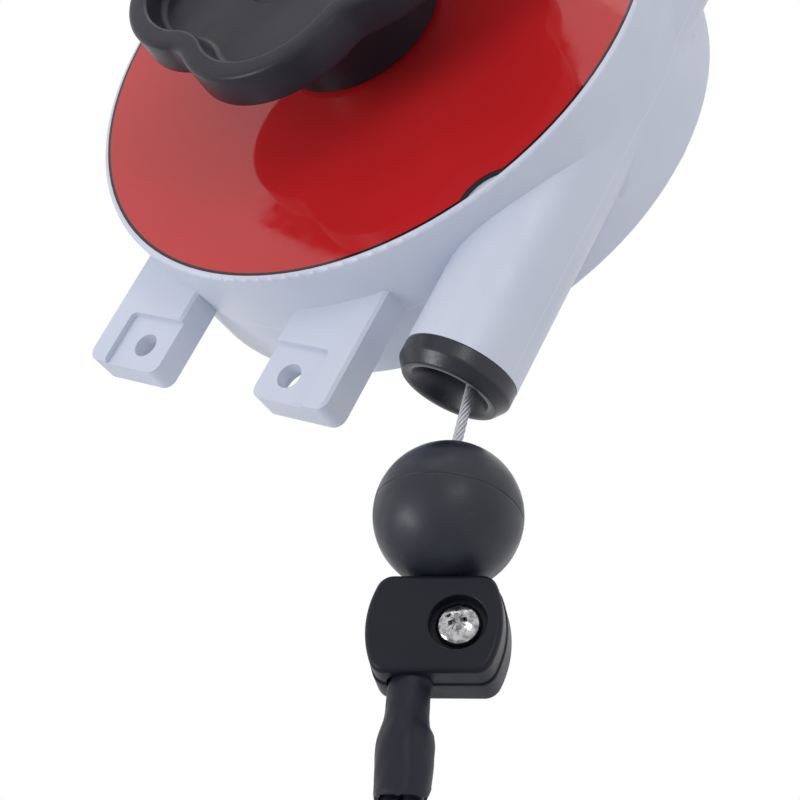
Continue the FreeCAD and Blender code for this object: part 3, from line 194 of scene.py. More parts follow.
def spread(tree, source, low, high, start=0.35, end=0.65):  # maps a value to a range
    ramp = tree.nodes.new("ShaderNodeMapRange")
    ramp.inputs["From Min"].default_value = start
    ramp.inputs["From Max"].default_value = end
    ramp.inputs["To Min"].default_value = low
    ramp.inputs["To Max"].default_value = high
    tree.links.new(source, ramp.inputs["Value"])
    return ramp.outputs["Result"]


def blendColors(tree, amount, first, second):  # first and second are a colour or a socket
    mix = tree.nodes.new("ShaderNodeMix")
    mix.data_type = "RGBA"
    tree.links.new(amount, mix.inputs["Factor"])
    for socket, color in ((mix.inputs["A"], first), (mix.inputs["B"], second)):
        if isinstance(color, tuple):
            socket.default_value = (*color, 1)
        else:
            tree.links.new(color, socket)
    return mix.outputs["Result"]


def grain(tree, shader, layers, distance=0.0001):  # bump layers, (source, strength), one on the next
    normal = None
    for source, strength in layers:
        bump = tree.nodes.new("ShaderNodeBump")
        bump.inputs["Strength"].default_value = strength
        bump.inputs["Distance"].default_value = distance
        tree.links.new(source, bump.inputs["Height"])
        if normal:
            tree.links.new(normal, bump.inputs["Normal"])
        normal = bump.outputs["Normal"]
    tree.links.new(normal, shader.inputs["Normal"])


def moulded(name, dark, light, rough, fine, strength, specular):
    material, tree, shader = newMaterial(name, light, rough, specular=specular)
    color = blendColors(tree, spread(tree, noiseOf(tree, 60, 3), 0, 1, 0.3, 0.7), dark, light)
    tree.links.new(color, shader.inputs["Base Color"])
    gloss = spread(tree, noiseOf(tree, 140, 4), rough - 0.05, rough + 0.06)
    tree.links.new(gloss, shader.inputs["Roughness"])
    grain(tree, shader, [(noiseOf(tree, fine, 2), strength), (noiseOf(tree, fine * 3.5, 1), strength * 0.5)])
    return material


def metal(name, dark, light, rough, strength, metallic):
    material, tree, shader = newMaterial(name, light, rough, metallic=metallic)
    color = blendColors(tree, spread(tree, noiseOf(tree, 220, 4), 0, 1, 0.3, 0.7), dark, light)
    tree.links.new(color, shader.inputs["Base Color"])
    lines = noiseOf(tree, 1, 3, source=objectPlace(tree, scale=(600, 30, 600)))  # long scratches
    tree.links.new(spread(tree, lines, rough - 0.07, rough + 0.1), shader.inputs["Roughness"])
    grain(tree, shader, [(lines, strength), (noiseOf(tree, 1800, 3), strength * 0.6)])
    return material


housingLook = {
    "shade": (0.545, 0.58, 0.69),
    "light": (0.585, 0.62, 0.725),
    "roughness": 0.4,
    "seamWidth": 0.1,  # the joint between the shells, mm
    "seamHighlight": (0.68, 0.71, 0.79),
# the painted highlight colour along the joint
}


def housingFinish():  # pale moulding with a fine painted highlight line along the joint where the two shells meet
    look = housingLook
    material, tree, shader = newMaterial("greyMoulding", look["light"], look["roughness"])
    parts = tree.nodes.new("ShaderNodeSeparateXYZ")
    tree.links.new(objectPlace(tree), parts.inputs["Vector"])
    off = tree.nodes.new("ShaderNodeMath")
    off.operation = "ABSOLUTE"
    tree.links.new(parts.outputs["Y"], off.inputs[0])
    # mask for the painted highlight along the joint between the shells
    seamHighlight = spread(tree, off.outputs[0], 1, 0, look["seamWidth"] * 0.4 * mm, look["seamWidth"] * mm)
    slow = spread(tree, noiseOf(tree, 45, 3), 0, 1, 0.3, 0.7)
    color = blendColors(tree, slow, look["shade"], look["light"])
    tree.links.new(blendColors(tree, seamHighlight, color, look["seamHighlight"]), shader.inputs["Base Color"])
    gloss = spread(tree, noiseOf(tree, 120, 4), look["roughness"] - 0.05, look["roughness"] + 0.06)
    tree.links.new(gloss, shader.inputs["Roughness"])
    grain(tree, shader, [(noiseOf(tree, 1500, 2), 0.1), (noiseOf(tree, 5200, 1), 0.08)])
    return material


plateLook = {
    "red": (0.50, 0.016, 0.0185),
    "redDeep": (0.46, 0.0135, 0.016),
    # the black of the sheet's cut edge, also used as painted shadow in the gap at the rim and the notch
    "edge": (0.008, 0.008, 0.009),
    "rimWidth": 0.58,  # the black line along the rim and along the notch, mm: the sheet's black edge and painted shadow of the gap
    "notchWidth": 0.35,
    "blur": 0.05,
    "roughness": 0.045,
}


def circleMask(tree, centre, radius, inside, outside):  # seen along Y, with a soft border
    length = tree.nodes.new("ShaderNodeVectorMath")
    length.operation = "LENGTH"
    flat = objectPlace(tree, location=(-centre.x, 0, -centre.z), scale=(1, 0, 1))
    tree.links.new(flat, length.inputs[0])
    blur = plateLook["blur"]
    return spread(tree, length.outputs["Value"], inside, outside, (radius - blur) * mm, (radius + blur) * mm)


def plateFinish():  # glossy printed sheet whose cut edge is black, with a band of painted gap shadow along the rim and the notch
    look = plateLook
    material, tree, shader = newMaterial("redSheet", look["red"], look["roughness"])
    either = tree.nodes.new("ShaderNodeMath")
    either.operation = "MAXIMUM"
    rim = circleMask(tree, drumAxis, plateSizes["radius"] - look["rimWidth"], 0, 1)
    notch = circleMask(tree, notchCentre(), plateSizes["notchRadius"] + look["notchWidth"], 1, 0)
    tree.links.new(rim, either.inputs[0])
    tree.links.new(notch, either.inputs[1])
    # the black cut edge together with painted gap shadow along the rim and the notch
    blackEdgeAndGapShade = either.outputs[0]
    slow = spread(tree, noiseOf(tree, 25, 2), 0, 1)
    color = blendColors(tree, slow, look["redDeep"], look["red"])
    tree.links.new(blendColors(tree, blackEdgeAndGapShade, color, look["edge"]), shader.inputs["Base Color"])
    haze = spread(tree, noiseOf(tree, 260, 5), look["roughness"] - 0.02, look["roughness"] + 0.03)
    tree.links.new(haze, shader.inputs["Roughness"])
    grain(tree, shader, [(noiseOf(tree, 150, 2), 0.03), (noiseOf(tree, 900, 2), 0.012)])
    return material


ballLook = {
    "dark": (0.0105, 0.0115, 0.02),
    "light": (0.018, 0.0195, 0.032),
    "paintedSheen": (0.05, 0.053, 0.075),  # pale bluish specks, a painted sheen standing in for the rubber's highlights
    "roughness": 0.42,
}


def ballFinish():
    look = ballLook
    material, tree, shader = newMaterial("ballRubber", look["light"], look["roughness"], specular=0.42)
    slow = spread(tree, noiseOf(tree, 90, 4), 0, 1, 0.35, 0.65)
    color = blendColors(tree, slow, look["dark"], look["light"])
    # pale specks in the colour: painted sheen of the rubber's highlights
    sheenSpecks = spread(tree, noiseOf(tree, 520, 6, rough=0.7), 0, 0.35, 0.6, 0.78)
    tree.links.new(blendColors(tree, sheenSpecks, color, look["paintedSheen"]), shader.inputs["Base Color"])
    gloss = spread(tree, noiseOf(tree, 160, 5), look["roughness"] - 0.1, look["roughness"] + 0.1)
    tree.links.new(gloss, shader.inputs["Roughness"])
    grain(tree, shader, [(noiseOf(tree, 260, 3), 0.16), (noiseOf(tree, 1500, 2), 0.14)])
    return material


chromeLook = {
    # dark and light: painted reflections of the room in the plating
    "dark": (0.2, 0.2, 0.21),
    "light": (0.52, 0.52, 0.53),
    "roughness": 0.09,
}


def chromeFinish():  # bright plating, its colour darkened and lightened in patches as painted reflections
    look = chromeLook
    material, tree, shader = newMaterial("chromePlate", look["light"], look["roughness"], metallic=1.0)
    # patches of painted reflection in the plating's colour
    paintedReflectionPatches = spread(tree, noiseOf(tree, 900, 4, rough=0.6), 0, 1, 0.38, 0.6)
    tree.links.new(blendColors(tree, paintedReflectionPatches, look["dark"], look["light"]), shader.inputs["Base Color"])
    gloss = spread(tree, noiseOf(tree, 2200, 3), look["roughness"] - 0.05, look["roughness"] + 0.1)
    tree.links.new(gloss, shader.inputs["Roughness"])
    grain(tree, shader, [(noiseOf(tree, 700, 2), 0.12), (noiseOf(tree, 3500, 2), 0.08)])
    return material


mouldedLooks = {  # material, dark, light, roughness, grain scale, grain strength, specular
    "knob": ("knobMoulding", (0.0085, 0.0085, 0.0145), (0.0135, 0.0135, 0.022), 0.36, 2400, 0.2, 0.32),
    "bush": ("bushMoulding", (0.008, 0.0085, 0.0145), (0.014, 0.0145, 0.024), 0.33, 1500, 0.34, 0.5),
    "clamp": ("clampMoulding", (0.0055, 0.006, 0.0115), (0.009, 0.0095, 0.0175), 0.4, 2200, 0.18, 0.22),
    "sleeve": ("sleeveRubber", (0.007, 0.0075, 0.0155), (0.0115, 0.012, 0.024), 0.46, 900, 0.2, 0.27),
}

metalLooks = {  # material, dark, light, roughness, bump strength, metallic
    "steel": ("zincPlate", (0.42, 0.42, 0.44), (0.6, 0.6, 0.61), 0.32, 0.15, 1.0),
    "hook": ("forgedZinc", (0.4, 0.4, 0.42), (0.58, 0.58, 0.59), 0.34, 0.2, 1.0),
    "latch": ("latchSheet", (0.46, 0.46, 0.47), (0.62, 0.62, 0.63), 0.28, 0.15, 1.0),
    "rope": ("ropeWire", (0.42, 0.42, 0.46), (0.6, 0.6, 0.65), 0.4, 0.15, 0.75),
    "spring": ("bluedSteel", (0.12, 0.13, 0.17), (0.24, 0.25, 0.3), 0.3, 0.15, 1.0),
    "bearing": ("sinteredBronze", (0.45, 0.3, 0.12), (0.6, 0.42, 0.2), 0.45, 0.15, 1.0),
    "drum": ("castAluminium", (0.5, 0.51, 0.53), (0.62, 0.63, 0.65), 0.4, 0.15, 1.0),
    "ferrule": ("pressedAluminium", (0.5, 0.5, 0.52), (0.62, 0.62, 0.64), 0.35, 0.15, 1.0),
}

finishes = {}


def makeFinishes():
    finishes["housing"] = housingFinish()
    finishes["plate"] = plateFinish()
    finishes["ball"] = ballFinish()
    finishes["chrome"] = chromeFinish()
    for slotName, look in mouldedLooks.items():
        finishes[slotName] = moulded(*look)
    for slotName, look in metalLooks.items():
        finishes[slotName] = metal(*look)
    finishes["washer"] = finishes["knob"]
    print("finishes ready:", len(finishes))


# Shared making


def addObject(name, mesh):
    piece = bpy.data.objects.new(name, mesh)
    bpy.context.scene.collection.objects.link(piece)
    return piece


def smoothFaces(piece, sharp):  # smooth but for real edges, with flat faces kept flat
    mesh = piece.data
    mesh.polygons.foreach_set("use_smooth", [True] * len(mesh.polygons))
    mesh.set_sharp_from_angle(angle=math.radians(sharp))
    even = piece.modifiers.new("evenShading", "WEIGHTED_NORMAL")
    even.mode = "FACE_AREA"
    even.weight = 60
    even.keep_sharp = True


def finishPiece(bm, name, body, slotName, replaced=(), sharp=35, flat=True):
    bmesh.ops.remove_doubles(bm, verts=bm.verts, dist=1e-7)
    bmesh.ops.recalc_face_normals(bm, faces=bm.faces)
    mesh = bpy.data.meshes.new(name)
    bm.to_mesh(mesh)
    bm.free()
    piece = addObject(name, mesh)
    if flat:
        smoothFaces(piece, sharp)
    else:
        mesh.polygons.foreach_set("use_smooth", [True] * len(mesh.polygons))
        mesh.set_sharp_from_angle(angle=math.radians(sharp))
    mesh.materials.append(finishes[slotName])
    if body:
        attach(piece, body)
    if replaced:
        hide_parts(*replaced)
    return piece


def spinProfile(bm, profile, place, steps=128):  # (radius, height) in mm, spun about local Z
    verts = [bm.verts.new((radius * mm, 0, height * mm)) for radius, height in profile]
    edges = [bm.edges.new(pair) for pair in zip(verts, verts[1:] + verts[:1])]
    bmesh.ops.spin(
        bm, geom=verts + edges, cent=(0, 0, 0), axis=(0, 0, 1), dvec=(0, 0, 0),
        angle=math.tau, steps=steps, use_merge=True, use_duplicate=False,
    )
    bmesh.ops.remove_doubles(bm, verts=bm.verts, dist=1e-7)
    bmesh.ops.transform(bm, matrix=place, verts=bm.verts)


def roundedProfile(corners, steps=5):  # corners as (radius, height, rounding)
    points = []
    count = len(corners)
    for index, (x, y, rounding) in enumerate(corners):
        here = Vector((x, y))
        if rounding <= 0:
            points.append((x, y))
            continue
        before = Vector(corners[index - 1][:2]) - here
        after = Vector(corners[(index + 1) % count][:2]) - here
        reach = min(rounding, 0.48 * before.length, 0.48 * after.length)
        start, end = here + before.normalized() * reach, here + after.normalized() * reach
        for step in range(steps + 1):
            share = step / steps
            spot = start.lerp(here, share).lerp(here.lerp(end, share), share)
            points.append((spot.x, spot.y))
    return points


def carve(bm, cutters):  # takes closed cutters out of a closed blank and gives a new bmesh
    holders = []
    for number, shape in enumerate([bm, *cutters]):
        bmesh.ops.recalc_face_normals(shape, faces=shape.faces)
        mesh = bpy.data.meshes.new(f"blank{number}")
        shape.to_mesh(mesh)
        shape.free()
        holders.append(addObject(f"blank{number}", mesh))
    for tool in holders[1:]:
        cut = holders[0].modifiers.new("cut", "BOOLEAN")
        cut.operation = "DIFFERENCE"
        cut.solver = "EXACT"
        cut.object = tool
    bpy.context.view_layer.update()
    seen = holders[0].evaluated_get(bpy.context.evaluated_depsgraph_get())
    left = bpy.data.meshes.new_from_object(seen)
    result = bmesh.new()
    result.from_mesh(left)
    bpy.data.meshes.remove(left)
    for holder in holders:
        mesh = holder.data
        bpy.data.objects.remove(holder)
        bpy.data.meshes.remove(mesh)
    return result


def roundBar(radius, length, place, segments=64, end=None):  # a closed bar along local Z from its place
    bm = bmesh.new()
    bmesh.ops.create_cone(
        bm, cap_ends=True, cap_tris=False, segments=segments, radius1=radius * mm,
        radius2=(radius if end is None else end) * mm, depth=length * mm,
        matrix=place @ Matrix.Translation((0, 0, length * mm / 2)),
    )
    return bm


splitAngles = {  # degrees, by material slot, beyond which an edge stays sharp
    "housing": 40,
}
otherSplit = 32


def carryNodes():  # each CAD node keeps its shape and takes its finish and cleaner shading
    slots = {entry["node"]: entry["material_slot"] for entry in frame["record"]["subparts"]}
    for name, slotName in slots.items():
        node = frame["nodes"][name]
        node.data.materials.clear()
        node.data.materials.append(finishes[slotName])
        node.data.polygons.foreach_set("use_smooth", [True] * len(node.data.polygons))
        weld = node.modifiers.new("weld", "WELD")
        weld.merge_threshold = 1e-6
        split = node.modifiers.new("edges", "EDGE_SPLIT")
        split.split_angle = math.radians(splitAngles.get(slotName, otherSplit))
        even = node.modifiers.new("evenShading", "WEIGHTED_NORMAL")
        even.mode = "FACE_AREA_WITH_ANGLE"
        even.weight = 50
    print("CAD nodes carried over:", len(slots))


# Wire rope

ropeSizes = {
    "radius": 1.0,
    "strands": 8,
    "strandRadius": 0.285,
    "coreRadius": 0.46,
    "lay": 11.0,
    "sides": 10,
    "step": 0.45,
    # x and z from the middle of the nozzle's end: the route from the throat to the clamp
    "route": ((1.6, 6.5), (7.25, -15.0), (11.45, -29.7), (15.17, -43.5)),
    "ballEntry": (7.9, -16.6),  # the rope pays out above here
    "throatTop": 13.3,
}


def fromNozzle(x, z):
    return nozzleEnd + Vector((x, 0, z)) * mm



def routeCurve():
    curve = bpy.data.curves.new("ropeRoute", "CURVE")
    curve.dimensions = "3D"
    curve.resolution_u = 24
    spline = curve.splines.new("NURBS")
    spline.points.add(len(ropeSizes["route"]) - 1)
    for point, (x, z) in zip(spline.points, ropeSizes["route"]):
        point.co = (*fromNozzle(x, z), 1)
    spline.order_u = 3
    spline.use_endpoint_u = True
    return curve


def curveLine(curve):
    holder = addObject("routeHolder", curve)
    bpy.context.view_layer.update()
    line = bpy.data.meshes.new_from_object(holder)
    points = [vertex.co.copy() for vertex in line.vertices]
    bpy.data.objects.remove(holder)
    bpy.data.meshes.remove(line)
    return points


def evenLine(points, step):  # the same line in even steps
    lengths = [0.0]
    for before, after in zip(points, points[1:]):
        lengths.append(lengths[-1] + (after - before).length)
    count = max(2, round(lengths[-1] / step))
    found = []
    index = 0
    for number in range(count + 1):
        target = lengths[-1] * number / count
        while index < len(points) - 2 and lengths[index + 1] < target:
            index += 1
        gap = lengths[index + 1] - lengths[index]
        share = (target - lengths[index]) / gap if gap else 0
        found.append(points[index].lerp(points[index + 1], share))
    return found


def strandAlong(bm, line, orbit, radius, phase):  # a ring extruded along a helix about the line
    sizes = ropeSizes
    travelled = 0.0
    centres = []
    for index, spot in enumerate(line):
        along = (line[min(index + 1, len(line) - 1)] - line[max(index - 1, 0)]).normalized()
        across = Vector((0, 1, 0))
        side = along.cross(across).normalized()
        if index:
            travelled += (spot - line[index - 1]).length
        angle = phase + math.tau * travelled / (sizes["lay"] * mm)
        centres.append(spot + (across * math.cos(angle) + side * math.sin(angle)) * orbit * mm)
    previous = None
    for index, centre in enumerate(centres):
        ahead = (centres[min(index + 1, len(centres) - 1)] - centres[max(index - 1, 0)]).normalized()
        place = Matrix.Translation(centre) @ ahead.to_track_quat("Z", "Y").to_matrix().to_4x4()
        if previous is None:
            ring = bmesh.ops.create_circle(
                bm, cap_ends=True, radius=radius * mm, segments=sizes["sides"], matrix=place,
            )["verts"]
            edges = [edge for edge in bm.edges if all(vert in ring for vert in edge.verts)]
        else:
            grown = bmesh.ops.extrude_edge_only(bm, edges=edges)["geom"]
            ring = [item for item in grown if isinstance(item, bmesh.types.BMVert)]
            edges = [item for item in grown if isinstance(item, bmesh.types.BMEdge)]
            edges = [edge for edge in edges if all(vert in ring for vert in edge.verts)]
            bmesh.ops.transform(bm, matrix=place @ previous.inverted(), verts=ring)
        previous = place
    bmesh.ops.contextual_create(bm, geom=edges)


def layStrands(line, phase=0.0):
    sizes = ropeSizes
    bm = bmesh.new()
    orbit = sizes["radius"] - sizes["strandRadius"]
    for number in range(sizes["strands"]):
        strandAlong(bm, line, orbit, sizes["strandRadius"], phase + math.tau * number / sizes["strands"])
    strandAlong(bm, line, 0, sizes["coreRadius"], 0)
    return bm


def makeRope():
    line = evenLine(curveLine(routeCurve()), ropeSizes["step"] * mm)
    piece = finishPiece(layStrands(line), "ropeStrands", None, "rope", ["rope"], sharp=60, flat=False)
    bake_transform(piece)


def makeThroatRope():  # the straight length in the bush, whose strands run into the rope's
    sizes = ropeSizes
    line = evenLine([fromNozzle(*sizes["route"][0]), fromNozzle(0, sizes["throatTop"])], sizes["step"] * mm)
    phase = math.tau * (line[0] - line[-1]).length / (sizes["lay"] * mm)
    line.reverse()
    strands = layStrands(line, -phase)
    finishPiece(strands, "throatStrands", "rope_throat", "rope", ["rope_throat"], sharp=60, flat=False)
    print("throat rope made")


# Tension knob: five lobes round a dish, on a hub

knobSizes = {
    "lobes": 5,
    "reach": 39.8,
    "lobeRadius": 21.3,
    "firstLobe": 70.7,
    "valleyRadius": 8.0,
    "top": 28.9,  # from the red sheet's face
    "thickness": 8.3,
    "topRound": 1.3,
    "lowRound": 0.6,
    "innerRound": 0.9,
    "rim": 5.5,
    "dish": 5.0,
    "dishRound": 1.6,
    "hubRadius": 19.1,
    "wellRadius": 15.0,
    "wellDepth": 3.0,
    "squareRadius": 4.8,
    "gap": 0.4,
    "hubFoot": 0.6,  # chamfer at the hub's foot
    "hubFlare": 1.2,
    "flareMiddle": 0.35,
    "wellEdge": 0.5,
    "segments": 360,
}


def lobedRadius(angle, inward):  # how far the lobed outline, moved inward, lies from the axis
    sizes = knobSizes
    away = sizes["reach"] - sizes["lobeRadius"]
    lobe = sizes["lobeRadius"] - inward
    valley = sizes["valleyRadius"] + inward
    step = math.tau / sizes["lobes"]
    fromLobe = (angle - math.radians(sizes["firstLobe"])) % step
    offLobe = min(fromLobe, step - fromLobe)
    half = step / 2
    far = away * math.cos(half) + math.sqrt((lobe + valley) ** 2 - (away * math.sin(half)) ** 2)
    toward = Vector((far * math.cos(half) - away, far * math.sin(half))).normalized()
    meet = Vector((away, 0)) + toward * lobe  # where the lobe's arc and the valley's meet
    if offLobe < math.atan2(meet.y, meet.x):
        return away * math.cos(offLobe) + math.sqrt(lobe**2 - (away * math.sin(offLobe)) ** 2)
    off = half - offLobe
    return far * math.cos(off) - math.sqrt(valley**2 - (far * math.sin(off)) ** 2)


def arcRings(offset, height, radius, start, end, steps=6):  # 180 points outward, 90 to the top, 0 inward
    rings = []
    for step in range(steps + 1):
        angle = math.radians(start + (end - start) * step / steps)
        rings.append((offset + radius * math.cos(angle), None, height + radius * math.sin(angle)))
    return rings


def knobRings():  # (lobed offset or None, round radius or None, height), from the hub's foot to the well
    sizes = knobSizes
    top, under = sizes["top"], sizes["top"] - sizes["thickness"]
    foot, hub, well = sizes["gap"] + 0.02, sizes["hubRadius"], sizes["wellRadius"]
    dish = top - sizes["dish"]
    floor = dish - sizes["wellDepth"]
    low, high = sizes["lowRound"], sizes["topRound"]
    inner, bowl, edge = sizes["innerRound"], sizes["dishRound"], sizes["wellEdge"]
    chamfer, flare, bend = sizes["hubFoot"], sizes["hubFlare"], sizes["flareMiddle"]
    rings = [(None, sizes["squareRadius"], foot), (None, hub - chamfer, foot), (None, hub, foot + chamfer)]
    rings += [(None, hub, under - flare), (None, hub + bend, under - bend)]
    rings.append((None, hub + flare, under))
    rings += arcRings(low, under + low, low, 270, 180)
    rings += arcRings(high, top - high, high, 180, 90)
    rings += arcRings(sizes["rim"] - bowl, top - inner, inner, 90, 30)
    rings += arcRings(sizes["rim"] + bowl, dish + bowl, bowl, 180, 270)
    rings += [(None, well + edge, dish), (None, well, dish - edge), (None, well, floor + 0.8 * edge)]
    rings += [(None, well - 0.8 * edge, floor), (None, sizes["squareRadius"], floor)]
    return rings


def makeKnob():
    bm = bmesh.new()
    ring = bmesh.ops.create_circle(bm, cap_ends=False, radius=1, segments=knobSizes["segments"])["verts"]
    angles = {vert: math.atan2(vert.co.y, vert.co.x) for vert in ring}
    first = edges = list(bm.edges)
    for number, (offset, radius, height) in enumerate(knobRings()):
        if number:
            grown = bmesh.ops.extrude_edge_only(bm, edges=edges)["geom"]
            ring = [item for item in grown if isinstance(item, bmesh.types.BMVert)]
            edges = [item for item in grown if isinstance(item, bmesh.types.BMEdge)]
            edges = [edge for edge in edges if all(vert in ring for vert in edge.verts)]
            angles = {vert: math.atan2(vert.co.z, vert.co.x) for vert in ring}
        for vert in ring:
            angle = angles[vert]
            far = radius if offset is None else lobedRadius(angle, offset)
            vert.co = Vector((far * math.cos(angle), -height, far * math.sin(angle)))
    bmesh.ops.bridge_loops(bm, edges=first + edges)
    place = Matrix.Translation(drumAxis + Vector((0, plateFace, 0))) @ Matrix.Scale(mm, 4)
    bmesh.ops.transform(bm, matrix=place, verts=bm.verts)
    finishPiece(bm, "knobGrip", "winder", "knob", ["knob"], sharp=40, flat=False)
    print("knob made")


# Face plate: a thin red sheet with a notch in its rim to prise it off by

plateSizes = {
    "radius": 65.0,
    "hole": 11.0,
    "thickness": 1.0,
    "notchAngle": 35.2,
    "notchRadius": 8.5,
    "notchDepth": 1.9,
    "edgeRound": 0.12,
    "still": 60,  # the notch moves nothing within this radius
    "steps": 720,
}


def notchCentre():
    sizes = plateSizes
    away = (sizes["radius"] + sizes["notchRadius"] - sizes["notchDepth"]) * mm
    angle = math.radians(sizes["notchAngle"])
    return drumAxis + Vector((away * math.cos(angle), 0, -away * math.sin(angle)))


def makePlate():
    sizes = plateSizes
    bm = bmesh.new()
    low, high = 0, sizes["thickness"]
    rounding, still = sizes["edgeRound"], sizes["still"]
    corners = [(sizes["hole"], low, rounding), (still, low, 0), (sizes["radius"], low, rounding)]
    corners += [(sizes["radius"], high, rounding), (still, high, 0), (sizes["hole"], high, rounding)]
    spinProfile(bm, roundedProfile(corners, 3), Matrix.Identity(4), steps=sizes["steps"])
    away = (notchCentre() - drumAxis) / mm
    centre = Vector((away.x, away.z))
    for vert in bm.verts:  # slide the rim inward to the notch's arc, with its rounding kept
        flat = Vector((vert.co.x, vert.co.y)) / mm
        if flat.length < still + 1:
            continue
        unit = flat.normalized()
        along = centre.dot(unit)
        off = sizes["notchRadius"] ** 2 - (centre - unit * along).length ** 2
        inward = sizes["radius"] - (along - math.sqrt(off)) if off > 0 and along > 0 else 0
        if inward > 0:
            vert.co.x, vert.co.y = unit * (flat.length - inward) * mm
    back = drumAxis + Vector((0, plateFace + sizes["thickness"] * mm, 0))
    place = Matrix.Translation(back) @ Matrix.Rotation(math.radians(90), 4, "X")
    bmesh.ops.transform(bm, matrix=place, verts=bm.verts)
    finishPiece(bm, "facePlateSheet", "housing", "plate", ["face_plate"], sharp=30)
    print("face plate made")


# Nozzle bush: a band and a chamfer outside, a trumpet inside

bushSizes = {
    "top": 16.3,
    "throatTop": 12.3,
    "throatRadius": 1.6,
    "band": 3.1,
    "taper": 2.4,
    "spigotRadius": 8.45,
    "radius": 11.55,
    "lipRadius": 9.8,
    "mouthRadius": 8.9,
    "bellRadius": 6.5,
    "bellDepth": 1.6,
    "throatRound": 1.5,
    "bellRound": 1.4,
    "mouthRound": 1.1,
    "edgeRound": 0.4,
    "seat": -0.02,  # keeps the collar clear of the nozzle's end
    "steps": 160,
}


def makeBush():
    sizes = bushSizes
    lip, edge = -sizes["band"] - sizes["taper"], sizes["edgeRound"]
    corners = [
        (sizes["throatRadius"], sizes["top"], 0),
        (sizes["throatRadius"], sizes["throatTop"], sizes["throatRound"]),
        (sizes["bellRadius"] - 0.25, lip + sizes["bellDepth"] + 1.2, sizes["bellRound"]),
        (sizes["mouthRadius"] - 0.7, lip, sizes["mouthRound"]),
        (sizes["lipRadius"], lip, edge - 0.05),
        (sizes["radius"], -sizes["band"], edge),
        (sizes["radius"], sizes["seat"], edge - 0.1),
        (sizes["spigotRadius"], sizes["seat"], 0),
        (sizes["spigotRadius"], sizes["top"], edge),
    ]
    bm = bmesh.new()
    spinProfile(bm, roundedProfile(corners, 6), Matrix.Translation(nozzleEnd), steps=sizes["steps"])
    finishPiece(bm, "nozzleTrumpet", "housing", "bush", ["nozzle_bush"], sharp=50)
    print("nozzle bush made")


# Stop ball: rubber, moulded in two halves, drilled off its middle for the rope

ballSizes = {
    "place": (13.3, -29.3),
    "radius": 13.5,
    "bore": 2.1,
    "boreOffset": -1.8,
    "lean": 16.0,
    "mouth": 0.5,  # the countersink's depth
    "mouthFlare": 1.4,
    "seamTilt": (-4.7, -5.9),  # the seam's plane leans against the bore, about X and Y
    "seamWidth": 0.16,
    "seamDepth": 0.12,
    "segments": 128,
    "rings": 84,
}


def makeBall():
    sizes = ballSizes
    radius = sizes["radius"] * mm
    aboutX, aboutY = (math.radians(angle) for angle in sizes["seamTilt"])
    tilt = Matrix.Rotation(aboutX, 4, "X") @ Matrix.Rotation(aboutY, 4, "Y")
    bm = bmesh.new()
    bmesh.ops.create_uvsphere(bm, u_segments=sizes["segments"], v_segments=sizes["rings"], radius=radius)
    for height in (sizes["seamWidth"], -sizes["seamWidth"]):  # loops on both sides of the seam
        everything = list(bm.verts) + list(bm.edges) + list(bm.faces)
        middle = (0, 0, height * mm)
        bmesh.ops.bisect_plane(bm, geom=everything, dist=1e-7, plane_co=middle, plane_no=(0, 0, 1))
    for vert in bm.verts:
        if abs(vert.co.z) < 0.3 * sizes["seamWidth"] * mm:
            vert.co *= 1 - sizes["seamDepth"] / sizes["radius"]
    bmesh.ops.transform(bm, matrix=tilt, verts=bm.verts)
    aim = Matrix.Translation((sizes["boreOffset"] * mm, 0, 0))
    drill = roundBar(sizes["bore"], 4 * sizes["radius"], aim @ Matrix.Translation((0, 0, -2 * radius)))
    mouths = []
    depth = math.sqrt(sizes["radius"] ** 2 - sizes["boreOffset"] ** 2)
    for side in (1, -1):  # a small round countersink at each mouth
        flip = Matrix.Rotation(0 if side > 0 else math.pi, 4, "X")
        start = Matrix.Translation((sizes["boreOffset"] * mm, 0, side * (depth - sizes["mouth"]) * mm))
        wide = sizes["bore"] + sizes["mouthFlare"]
        mouths.append(roundBar(sizes["bore"] - 0.02, 1.5, start @ flip, end=wide))
    bm = carve(bm, [drill, *mouths])
    lean = Matrix.Rotation(math.radians(-sizes["lean"]), 4, "Y")
    bmesh.ops.transform(bm, matrix=Matrix.Translation(fromNozzle(*sizes["place"])) @ lean, verts=bm.verts)
    finishPiece(bm, "stopBallRubber", "rope_end", "ball", ["stop_ball"], sharp=50, flat=False)
    print("stop ball made")


# Rope clamp: two moulded halves whose rims are rounded, drawn together by a screw

clampSizes = {
    "ropeOffset": 3.6,
    "width": 24.2,
    "endWidth": 19.5,
    "height": 18.7,
    "front": 5.1,
    "rear": 6.5,
    "corner": 3.0,  # rounding of the four corners
    "frontEdge": 1.1,
    "rearEdge": 1.6,
    "seamEdge": 0.3,  # the small rounding where the halves meet
    "step": 0.25,  # the front half stands back by this much at the seam
    "sideSteps": 22,
    "cornerSteps": 8,
    "boreRadius": 1.15,
    "holeRadius": 2.1,
    "seatX": -0.5,
    "seatRadius": 3.95,
    "seatDepth": 1.9,
    "screwX": 7.8,
    "recessRadius": 5.1,
    "recessDepth": 2.05,
    "recessEdge": 0.18,
    "nutRadius": 4.15,
    "nutDepth": 3.0,
}


def sweepVert(bm, vert, middle, angle, steps):  # the edges that a vertex draws about a middle point
    spun = bmesh.ops.spin(
        bm, geom=[vert], cent=Vector((middle[0], 0, middle[1])) * mm, axis=(0, -1, 0), dvec=(0, 0, 0),
        angle=angle, steps=steps, use_duplicate=False,
    )
    return next(item for item in spun["geom_last"] if isinstance(item, bmesh.types.BMVert))


